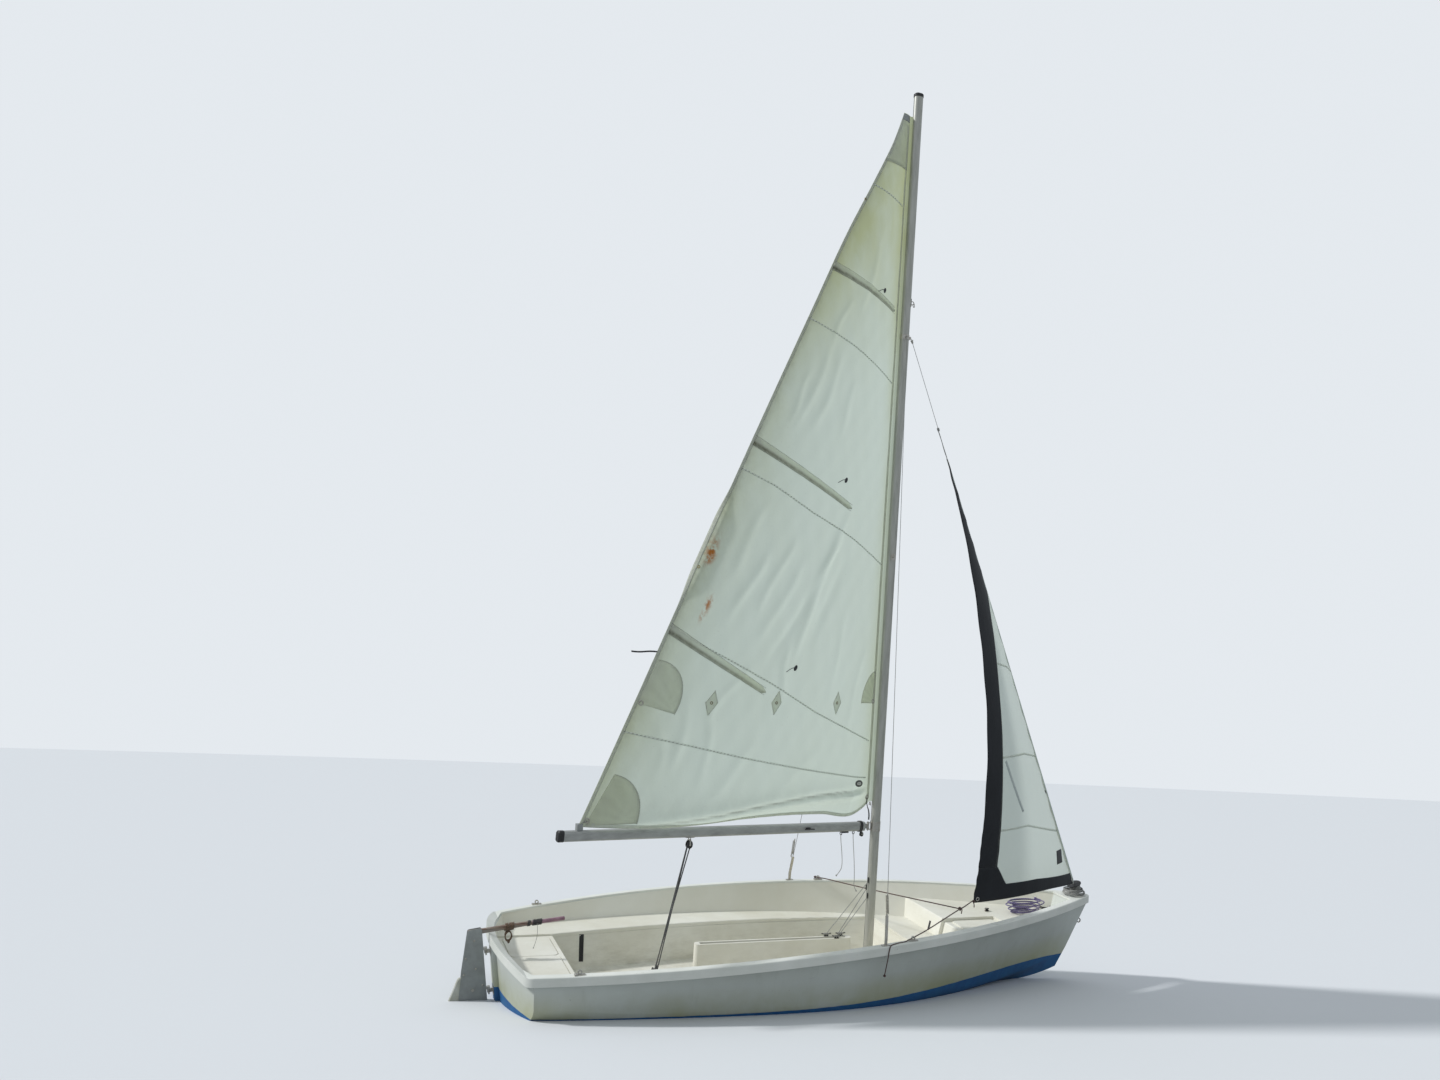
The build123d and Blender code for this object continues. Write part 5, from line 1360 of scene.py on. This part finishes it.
for side in (-1, 1):
    chain_low, chain_high = box_of("chainplate_port" if side > 0 else "chainplate_starboard")
    foot_y = chain_low.lerp(chain_high, 0.5).y
    start = Vector((0.170, foot_y, chain_high.z - 0.006))
    goal = Vector((0.490, side * 0.040, 5.060))
    along_wire = (goal - start).normalized()
    shackle(shackles, start + along_wire * 0.014, along_wire, 0.018, 0.0028)
    for k, (radius, run) in enumerate(((0.0045, 0.040), (0.0045, 0.150))):
        turned(shackles, start + along_wire * run, along_wire,
               ((0.003, -0.012), (radius, -0.010), (radius, 0.010), (0.003, 0.012)), 14)
    for off in (-1, 1):
        plate(shackles, start + along_wire * 0.085 + Vector((off * 0.006, 0, 0)), (1, 0, 0), along_wire,
              rounded(0.016, 0.125, 0.006), 0.0024, 0.0005)
    for hole in range(5):
        turned(shackles, start + along_wire * (0.040 + 0.022 * hole) + Vector((-0.0085, 0, 0)), (1, 0, 0),
               ((0.0028, 0), (0.0028, 0.017)), 10)
made(shackles, "shroud_adjusters", stainless_finish, "hull")
print("shackles and adjusters")

# %% [markdown]
# ## Mast fittings
# Halfway up there is a small cross fitting, and in front of the mast, above the stay, an eye for
# a spare halyard. The halyards run inside the mast and come out near its foot, where three of
# them are pulled aft to their cleats. The jib hangs from its stay by a short wire strop.

# %% Mast fittings
mast_kit = new_kit()
MAST_FRONT, MAST_BACK, MAST_HALF = 0.528, 0.452, 0.030
CROSS_Z, EYE_Z = 3.30, 5.345
for side in (-1, 1):
    plate(mast_kit, (MAST_BACK + 0.038, side * (MAST_HALF + 0.002), CROSS_Z), (0, 1, 0), (0, 0, 1),
          rounded(0.040, 0.055, 0.008), 0.004)
for side in (-1, 1):
    horn = [(0.038, MAST_HALF, 0), (0.034, 0.052, 0), (0.026, 0.066, 0.012), (0.018, 0.070, 0.030)]
    spots = route([(MAST_BACK + back, side * out, CROSS_Z + up) for back, out, up in horn])
    along_path(mast_kit, spots, 0.0035, 10)
plate(mast_kit, (MAST_FRONT + 0.001, 0, EYE_Z), (1, 0, 0), (0, 0, 1), rounded(0.028, 0.070, 0.010), 0.003)
along_path(mast_kit, ring_path((MAST_FRONT + 0.016, 0, EYE_Z), (0, 1, 0), 0.013, 22), 0.0035, 8)
shackle(mast_kit, (MAST_FRONT + 0.030, 0, EYE_Z - 0.020), (0.3, 0, -1), 0.020, 0.0030)
shackle(mast_kit, STAY[1].lerp(STAY[0], 0.006), (1.83, 0, -4.36), 0.020, 0.0032)
turned(mast_kit, (0.490, 0, 7.046), (0, 0, 1), ((0.0001, -0.001), (0.004, 0), (0.004, 0.001)), 10)
made(mast_kit, "mast_fittings", stainless_finish, "hull")

exits = new_kit()
for z in (0.66, 0.72, 0.78):
    plate(exits, (MAST_BACK - 0.0015, 0.012 if z == 0.72 else -0.012, z), (1, 0, 0), (0, 0, 1),
          rounded(0.014, 0.045, 0.0065), 0.005, 0.0012)
made(exits, "halyard_exits", plastic_finish, "hull")
stay_dir = Vector((0.553 - 2.388, 0, 5.058 - 0.700)).normalized()
head_wires = new_kit()
head_ring = Vector(on_jib(0.5, 4.105))
for side in (-1, 1):
    top_at = STAY[0] + stay_dir * ((4.36 - 0.700) / stay_dir.z) + Vector((-0.004, side * 0.006, 0))
    along_path(head_wires,
               route([head_ring, head_ring.lerp(top_at, 0.3) + Vector((-0.002, side * 0.006, 0)),
                      head_ring.lerp(top_at, 0.7) + Vector((0, -side * 0.006, 0)), top_at]), 0.0016, 8)
turned(head_wires, top_at + Vector((0.004, -0.006, 0)), stay_dir,
       ((0.004, -0.016), (0.009, -0.013), (0.010, 0.010), (0.004, 0.014)), 18)
made(head_wires, "jib_head_wires", wire_finish, "hull")
sleeve = new_kit()
along_path(sleeve, [STAY[0] + stay_dir * (0.022 + (4.12 - 0.72) / stay_dir.z * k / 60) for k in range(61)],
           0.0062, 10)
made(sleeve, "jib_luff_sleeve", jib_cloth, "hull")

# %% [markdown]
# The sail's lower corners are tied down: the tack by a shackle and a lashing to the gooseneck, and
# the clew by turns of thin cord to its slide. The outhaul is wound round the boom at its fore end.

# %% Gooseneck, tack and clew
tack = new_kit()
shackle(tack, (0.432, -0.002, 1.372), (0, 0, 1), 0.018, 0.0030)
made(tack, "tack_shackle", stainless_finish, "hull")
tack_ring = Vector(on_main(0.016, 1.425))
for number in range(3):
    spots = route([tack_ring + Vector((0.004 * number, -0.004, -0.012)),
                   tack_ring + Vector((-0.004, -0.009, -0.05)),
                   Vector((0.425 + 0.004 * number, -0.010, 1.300)),
                   Vector((0.424 + 0.004 * number, -0.004, 1.245))])
    rope(f"tack_lashing_{number + 1}", spots, 0.0042, dark_cord, "boom")
clew_ring = Vector(on_main(0.984, 1.392))
slide_top = touch(["clew_slide", "boom"], on_boom(2.525, 0, 0.2), (0, 0, -1))[0]
for number in range(4):
    off = boom_along * (0.005 * number - 0.008)
    spots = route([clew_ring + off * 0.5 + boom_side * 0.006,
                   clew_ring.lerp(slide_top, 0.5) + off + boom_side * 0.008,
                   slide_top + off + boom_side * 0.004,
                   slide_top + off - boom_side * 0.005,
                   clew_ring.lerp(slide_top, 0.5) + off - boom_side * 0.008,
                   clew_ring + off * 0.5 - boom_side * 0.006])
    rope(f"clew_lashing_{number + 1}", spots, 0.0038, light_cord, "boom")
turns_of_cord = []
for k in range(6 * 12 + 1):
    angle = 2 * math.pi * k / 12
    reach = 1.0 / (abs(math.cos(angle)) ** 3.2 + abs(math.sin(angle)) ** 3.2) ** (1 / 3.2)
    turns_of_cord.append(on_boom(0.072 + 0.0046 * k / 12, math.cos(angle) * reach * 0.0290,
                                 math.sin(angle) * reach * 0.0400))
rope("outhaul_turns", route(turns_of_cord, 5), 0.0045, dark_cord, "boom", sides=8)
block("outhaul_block", on_boom(0.060, 0, -0.062), boom_up, boom_side, 0.036, "boom")
horn_cleat("boom_cleat", on_boom(0.62, -0.0245, 0.0), -boom_side, boom_along, 0.085, "boom")
slider = new_kit()
plate(slider, on_boom(0.235, 0, -0.040), boom_up, boom_along, rounded(0.030, 0.070, 0.010), 0.010, 0.002)
along_path(slider, ring_path(on_boom(0.145, 0, -0.046), boom_along, 0.011, 20), 0.003, 8)
along_path(slider, ring_path(on_boom(0.270, 0, -0.050), boom_along, 0.011, 20), 0.003, 8)
made(slider, "boom_slider", plastic_finish, "boom")
print("gooseneck, tack and clew")

# %% [markdown]
# Two thin lines hang free and plumb below the boom. The real boat heels and the model is upright,
# so plumb is straight down off the leaning floor.

# %% Hanging lines
def declare(name, points, diameter, material, body, fineness=8, gap=0.4):
    """A free rope with a stopper knot at its far end."""
    path = route(points, fineness)
    line = rope(name, path, diameter, material, body)
    ahead = (path[-1] - path[-2]).normalized()
    knot = overhand(path[-1] + ahead * diameter * gap, ahead, diameter, material, name + "_knot", body)


FLOOR_UP = Vector((0.020, 0.145, 1.0)).normalized()
down = -FLOOR_UP
for name, run, long, drift in (("kicker_line_short", 0.270, 0.30, -0.030),
                               ("kicker_line_long", 0.145, 0.42, 0.030)):
    top_at = on_boom(run, 0, -0.057)
    points = [top_at, top_at + down * 0.04]
    points += [top_at + down * long * share + Vector((aside, 0, 0))
               for share, aside in ((0.45, 0.012), (0.80, 0.016), (0.93, drift * 0.3), (1, drift))]
    declare(name, points, 0.005, light_cord, "boom", 10, 0.8)

# %% [markdown]
# ## Rope left on deck
# Spare line is dropped where it is out of the way: a hank of purple and white rope on the
# foredeck with a small dark coil beside it, and the furling line in loose turns at the bow. The
# turns of a real hank differ in size and lean on each other, so each turn here has its own
# width and middle. It climbs a little over a diameter, and in the hank every third is smaller.

# %% Coils
def loose_coil(middle, wide, deep, turns, diameter, lean, seed, spread=0.12, climb=1.08, inner=1.0):
    """Control points of a loose oval coil, 12 to a turn. climb is in diameters a turn, and inner
    is the size of every third turn."""
    draw = random.Random(seed)
    points = []
    size = [(inner if i % 3 == 1 else 1) * (1 + draw.uniform(-spread, spread)) for i in range(turns + 1)]
    shift = [(draw.uniform(-1, 1) * wide * 0.05, draw.uniform(-1, 1) * deep * 0.07) for _ in range(turns + 1)]
    for k in range(turns * 12 + 1):
        turn, share = divmod(k / 12, 1)
        i = min(int(turn), turns - 1)
        grow = size[i] * (1 - share) + size[i + 1] * share
        dx = shift[i][0] * (1 - share) + shift[i + 1][0] * share
        dy = shift[i][1] * (1 - share) + shift[i + 1][1] * share
        angle = 2 * math.pi * k / 12 + lean
        x, y = wide / 2 * grow * math.cos(angle) + dx, deep / 2 * grow * math.sin(angle) + dy
        points.append(Vector((middle[0] + x * math.cos(lean) - y * math.sin(lean),
                              middle[1] + x * math.sin(lean) + y * math.cos(lean),
                              middle[2] + diameter * (0.55 + climb * k / 12))))
    return points


def deck_at(x, y, names=("foredeck", "fore_platform", "cockpit_tub", "gunwale_rail", "foredeck_hatch")):
    return touch(names, (x, y, 1.0), (0, 0, -1))[0]


HEAP = (1.930, 0.030)
heap = deck_at(*HEAP)
heap_top = max(deck_at(HEAP[0] + dx, HEAP[1] + dy).z for dx in (-0.2, 0, 0.2) for dy in (-0.09, 0, 0.09))
print("deck under the heap", short(heap), round(heap_top, 3))
declare("foredeck_hank", loose_coil((*HEAP, heap_top), 0.350, 0.160, 8, 0.0095, 0.12, 4, 0.22, 1.25, 0.62),
        0.0095, purple_rope, "hull")
declare("foredeck_coil", loose_coil((2.190, 0.105, deck_at(2.190, 0.105).z + 0.002), 0.095, 0.085, 3, 0.006,
                                    0.4, 9), 0.006, dark_cord, "hull")
small = deck_at(1.62, 0.10)
block("foredeck_block", small + Vector((0, 0, 0.013)), (-1, -0.4, 0), (0, 0, 1), 0.040, "hull")

# %% [markdown]
# The furling line has five turns on its drum, and its spare length lies at the bow.

# %% Furling line
low, high = box_of("furler")
print("furler box", short(low), short(high))
winding = []
turns = 5
_, side, top = axes_for(stay_dir)
middle = low.lerp(high, 0.5)
for k in range(turns * 12 + 1):
    angle = 2 * math.pi * k / 12
    winding.append(middle + stay_dir * (0.0085 * (k / 12 - turns / 2))
                   + (side * math.cos(angle) + top * math.sin(angle)) * 0.043)
rope("furling_turns", route(winding, 6), 0.008, grey_rope, "hull")
BOW_COIL = (2.385, 0.0)
bow_deck = max(deck_at(BOW_COIL[0] + 0.085 * dx, 0.075 * dy,
                       ("foredeck", "gunwale_rail", "stem_fitting", "hull_shell")).z
               for dx in (-1, -0.5, 0) for dy in (-1, 0, 1))
print("bow deck", round(bow_deck, 3))
declare("bow_line", loose_coil((*BOW_COIL, bow_deck + 0.001), 0.185, 0.160, 4, 0.009, 0.3, 6, 0.10), 0.009,
        grey_rope, "hull")

# %% [markdown]
# ## Tails and lashings
# Black cord is lashed tightly round the tiller in two places. A tight lashing is a helix wound
# round the wood. A brown line is wound in a fat bundle by the rudder head, and thin tails hang
# from the lashing, from the clew and over the starboard rail.

# %% Lashings
def around_tiller(x, names=("tiller", "tiller_grip")):
    """The middle and half sizes of the tiller at a place along it."""
    top = touch(names, (x, 0, 0.9), (0, 0, -1))[0].z
    bottom = touch(names, (x, 0, 0.1), (0, 0, 1))[0].z
    left = touch(names, (x, -0.2, (top + bottom) / 2), (0, 1, 0))[0].y
    return Vector((x, 0, (top + bottom) / 2)), -left, (top - bottom) / 2


def wound(name, x_0, x_1, turns, diameter, material, gap, wobble, seed):
    """Cord wound tightly round the tiller between two places along it."""
    draw = random.Random(seed)
    points = []
    for k in range(turns * 12 + 1):
        middle, half_y, half_z = around_tiller(x_0 + (x_1 - x_0) * k / (turns * 12))
        angle = 2 * math.pi * k / 12
        reach = 1.18
        points.append(middle + Vector((draw.uniform(-wobble, wobble),
                                       math.cos(angle) * (half_y * reach + diameter * 0.5 + gap),
                                       math.sin(angle) * (half_z * reach + diameter * 0.5 + gap))))
    rope(name, route(points, 5), diameter, material, "rudder", sides=8)


wound("tiller_lashing", -2.085, -2.150, 11, 0.0045, dark_cord, 0.0005, 0.001, 3)
wound("tiller_lashing_aft", -2.165, -2.185, 4, 0.0045, dark_cord, 0.0005, 0.001, 5)
wound("brown_bundle", -2.278, -2.340, 8, 0.0075, brown_rope, 0.003, 0.004, 8)
middle, half_y, half_z = around_tiller(-2.118)
start = middle + Vector((0, -half_y - 0.004, -half_z * 0.2))
declare("tiller_tail", [start, start + Vector((0.0, -0.010, -0.020)), start + Vector((0.004, -0.014, -0.07)),
                        start + Vector((-0.006, -0.022, -0.12)),
                        start + Vector((-0.020, -0.026, -0.16))], 0.003, light_cord, "rudder")
middle, half_y, half_z = around_tiller(-2.312)
hank = []
for k in range(3 * 12 + 7):
    angle = 2 * math.pi * k / 12 + math.pi / 2
    hank.append(middle + Vector((0.022 * math.cos(angle) * (1 + 0.10 * math.sin(k)), 0.012 - 0.0082 * k / 12,
                                 -half_z - 0.046 + 0.034 * math.sin(angle) - 0.0012 * k / 12)))
declare("brown_hank", hank, 0.0075, brown_rope, "rudder")

# %% [markdown]
# The starboard sheet's tail runs from its lead to the rail, bends over it and hangs down outside.

# %% Tails at the rail and the clew
edge = touch(["gunwale_rail"], (0.20, -1.3, 0.548), (0, 1, 0))[0]
rail_top = touch(["gunwale_rail"], (0.20, edge.y + 0.028, 0.9), (0, 0, -1))[0]
print("rail top", short(rail_top), "edge", short(edge))
start = star_lead + Vector((-0.012, 0.0, 0.004))
tail = [start, start + Vector((-0.030, -0.008, -0.004))]
# x, and how far in from the rail's edge and up from its top
for x, inboard, up in ((0.345, 0.052, 0.0065), (0.290, 0.045, 0.0055), (0.225, 0.015, 0.006),
                       (0.196, -0.003, 0.004), (0.186, -0.0075, -0.025), (0.178, -0.0075, -0.09),
                       (0.166, -0.0090, -0.15), (0.158, -0.0100, -0.195)):
    tail.append(Vector((x, edge.y + inboard, rail_top.z + up)))
declare("starboard_sheet_tail", tail, 0.0075, sheet_rope, "hull")
for number, (lean, long,
             share) in enumerate((((-0.10, -0.04, -1), 0.034, 0.10), ((0.22, 0.06, -1), 0.034, 0.9)), 1):
    start = knot_at.lerp(clew, share) + Vector((0, -0.004, -0.004))
    way = Vector(lean).normalized()
    rope(f"clew_knot_end_{number}", route([start, start + way * long * 0.4 + Vector((0.004, 0, 0)),
                                           start + way * long]), 0.0075, sheet_rope, "hull")

# %% [markdown]
# The halyards leave the mast low down and run straight to three cleats on the centreboard case,
# with two turns of rope round each.

# %% Halyards
case_top = [touch(["centreboard_case", "cockpit_tub"], (x, y, 0.9), (0, 0, -1))
            for x, y in ((0.26, 0.030), (0.20, -0.030), (0.14, 0.030))]
print("case top", [short(hit[0]) for hit in case_top])
for number, (z, y, hit, rope_kind) in enumerate(((0.66, -0.012, case_top[0], light_cord),
                                                 (0.72, 0.012, case_top[1], grey_rope),
                                                 (0.78, -0.012, case_top[2], light_cord)), 1):
    goal = hit[0] + Vector((0, 0, 0.018))
    start = Vector((MAST_BACK + 0.010, y, z))
    rope(f"halyard_{number}", [start.lerp(goal, k / 12) for k in range(13)], 0.0055, rope_kind, "hull")
    horn_cleat(f"halyard_cleat_{number}", hit[0], (0, 0, 1), (1, 0, 0), 0.075, "hull")
    wraps = []
    for k in range(25):
        angle = 2 * math.pi * k / 12
        wraps.append(hit[0] + Vector((0.024 * math.cos(angle),
                                      0.0085 * math.sin(angle) * (1 if k < 12 else 1.25),
                                      0.012 + 0.0055 * k / 12)))
    rope(f"halyard_turns_{number}", route([goal] + wraps, 5), 0.0052, rope_kind, "hull")

# %% [markdown]
# ## Straps, screws and bolts
# Two webbing straps hang on the inside, one on the port bench and one on the bulkhead. The
# fittings are fastened with dome-headed screws. The places for the screws are found by asking
# where a line first meets the CAD part, so that each head sits on the surface it holds.

# %% Straps
webbing, tree, shader = new_finish("black_webbing", (0.02, 0.02, 0.022), 0.85)
rows_of_weave = tree.nodes.new("ShaderNodeTexWave")
rows_of_weave.inputs["Scale"].default_value = 160
tree.links.new(place(tree), rows_of_weave.inputs["Vector"])
colour_with(tree, shader,
            blend_colour(tree, rows_of_weave.outputs["Fac"], (0.013, 0.013, 0.015), (0.045, 0.045, 0.047)))
raise_surface(tree, shader, rows_of_weave.outputs["Fac"], 0.0008, 0.8)


def strap_on(name, spots, across, width, thick, material, body):
    """A flat strap through spots on a surface, each with its outward normal."""
    across = Vector(across).normalized()
    verts = []
    for where, out in spots:
        for a, b in ((-1, 0.0), (1, 0.0), (1, 1.0), (-1, 1.0)):
            verts.append(where + across * a * width / 2 + out * (0.0004 + thick * b))
    kit = new_kit()
    skin(kit, verts, 4)
    made(kit, name, material, body, angle=50)


riser = [touch(["port_bench", "cockpit_tub"], (-1.68, 0.10, z),
               (0, 1, 0)) for z in [0.11 + 0.19 * k / 16 for k in range(17)]]
strap_on("port_bench_strap", riser, (1, 0, 0), 0.036, 0.0022, webbing, "hull")
wall = [touch(["fore_platform", "cockpit_tub", "foredeck"], (0.80, 0.114, z),
              (1, 0, 0)) for z in [0.335 + 0.07 * k / 8 for k in range(9)]]
strap_on("bulkhead_strap", wall, (0, 1, 0), 0.022, 0.0022, webbing, "hull")
print("straps", short(riser[0][0]), short(wall[0][0]))

# %% [markdown]
# One outline of a head is turned round its axis for each screw, and scaled to the fitting.

# %% Screws
HEAD = ((0.0001, 0.0008), (0.0012, 0.0008), (0.0016, 0.0024), (0.0036, 0.0019), (0.0048, 0.0006),
        (0.0050, -0.0012))


def screw(kit, names, start, towards, size=1.0):
    """A screw head where a line from start meets a part."""
    hit = touch(names, start, towards)
    if hit is None:
        print("no surface for a screw at", short(start))
        return
    where, out = hit
    if out.dot(Vector(towards)) > 0:
        out = -out
    turned(kit, where, out, [(r * size, a * size) for r, a in reversed(HEAD)], 14)


hull_screws, rudder_screws, boom_screws = new_kit(), new_kit(), new_kit()
for name in ("gudgeon_upper", "gudgeon_lower"):
    low, high = box_of(name)
    for y in (-0.8, 0.8):
        for share in (0.25, 0.75):
            screw(hull_screws, [name, "sternpost_pad"],
                  (low.x - 0.2, low.lerp(high, 0.5).y + y * (high.y - low.y) / 2 * 0.9,
                   low.lerp(high, share).z), (1, 0, 0), 0.9)
for x, z in ((-2.593, 0.321), (-2.598, 0.211), (-2.465, 0.138), (-2.545, 0.440), (-2.520, 0.250)):
    for side in (-1, 1):
        screw(rudder_screws, ["rudder_head"], (x, side * 0.2, z), (0, -side, 0), 1.7)
for run, side in ((0.235, 0.022), (0.235, -0.022)):
    screw(boom_screws, ["boom"], on_boom(run + 0.05, side * 2, 0.0), -boom_side if side > 0 else boom_side, 0.8)
for name in ("jib_lead_port", "jib_lead_starboard", "stern_fairlead_port", "stern_fairlead_starboard"):
    low, high = box_of(name)
    for share in (0.12, 0.88):
        screw(hull_screws, [name], (low.lerp(high, share).x, low.lerp(high, 0.5).y, high.z + 0.1), (0, 0, -1),
              0.8)
low, high = box_of("mast_step")
for a in (0.10, 0.90):
    for b in (0.12, 0.88):
        screw(hull_screws, ["mast_step"],
              (low.x + a * (high.x - low.x), low.y + b * (high.y - low.y), high.z + 0.2), (0, 0, -1), 1.0)
low, high = box_of("hounds")
for side in (-1, 1):
    for share in (0.2, 0.8):
        screw(hull_screws, ["hounds", "mast"], (0.49, side * 0.2, low.lerp(high, share).z), (0, -side, 0), 0.8)
made(hull_screws, "hull_screws", stainless_finish, "hull")
made(rudder_screws, "rudder_bolts", stainless_finish, "rudder")
made(boom_screws, "boom_screws", stainless_finish, "boom")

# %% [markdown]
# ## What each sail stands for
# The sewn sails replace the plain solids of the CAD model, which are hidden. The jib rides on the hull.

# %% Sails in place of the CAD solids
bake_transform(mainsail)
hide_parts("mainsail")
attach(jib, "hull")
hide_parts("jib")

# %% [markdown]
# ## The floor
# The boat floats, so the floor passes through its waterline. The real hull heels to starboard and
# the CAD model is upright, so the floor leans instead. Inside the hull there is no floor: it has
# a hole the shape of the waterline, found by casting lines at the hull all round.

# %% Floor
FLOOR_DROP = 0.015
FLOOR_REACH = 90
SKIN = 0.004
level_turn = FLOOR_UP.to_track_quat("Z", "Y")
centre = Vector((0.1, 0, 0))
centre.z = -FLOOR_DROP - (FLOOR_UP.x * centre.x) / FLOOR_UP.z
inner, outer = [], []
for k in range(360):
    angle = 2 * math.pi * k / 360
    way = level_turn @ Vector((math.cos(angle), math.sin(angle), 0))
    hit = touch(["hull_shell"], centre + way * 4, -way)[0]
    inner.append(hit - way * SKIN)
    outer.append(centre + way * FLOOR_REACH)
floor_mesh = bpy.data.meshes.new("water_level")
floor_mesh.from_pydata(inner + outer, [],
                       [(k, 360 + k, 360 + (k + 1) % 360, (k + 1) % 360) for k in range(360)])
floor = bpy.data.objects.new("water_level", floor_mesh)
scene.collection.objects.link(floor)
floor_finish, tree, shader = new_finish("pale_floor", (0.72, 0.74, 0.76), 0.9)
camera_sees = tree.nodes.new("ShaderNodeLightPath").outputs["Is Camera Ray"]
colour_with(tree, shader, blend_colour(tree, camera_sees, (0.36, 0.38, 0.39), (0.72, 0.74, 0.76)))
floor_mesh.materials.append(floor_finish)

# %% [markdown]
# ## The light
# The light is plain: an even sky, and a soft sun from aft, about forty degrees up and a little
# to port. A Light Path node lets the camera see a brighter sky than the one that lights the boat.

# %% Light
world = bpy.data.worlds.new("studio")
scene.world = world
world.use_nodes = True
tree = world.node_tree
sky = tree.nodes["Background"]
sky.inputs[0].default_value = (0.80, 0.86, 0.92, 1)
sky.inputs[1].default_value = 0.62
seen = tree.nodes.new("ShaderNodeBackground")
seen.inputs[0].default_value = (0.78, 0.82, 0.86, 1)
rays = tree.nodes.new("ShaderNodeLightPath")
mixed = tree.nodes.new("ShaderNodeMixShader")
tree.links.new(rays.outputs["Is Camera Ray"], mixed.inputs[0])
tree.links.new(sky.outputs[0], mixed.inputs[1])
tree.links.new(seen.outputs[0], mixed.inputs[2])
tree.links.new(mixed.outputs[0], tree.nodes["World Output"].inputs["Surface"])
sun_data = bpy.data.lights.new("sun", "SUN")
sun_data.energy = 2.3
sun_data.angle = math.radians(5)
sun = bpy.data.objects.new("sun", sun_data)
sun.rotation_mode = "QUATERNION"
sun.rotation_quaternion = Vector((-0.75, 0.25, 0.62)).to_track_quat("Z", "Y")
scene.collection.objects.link(sun)
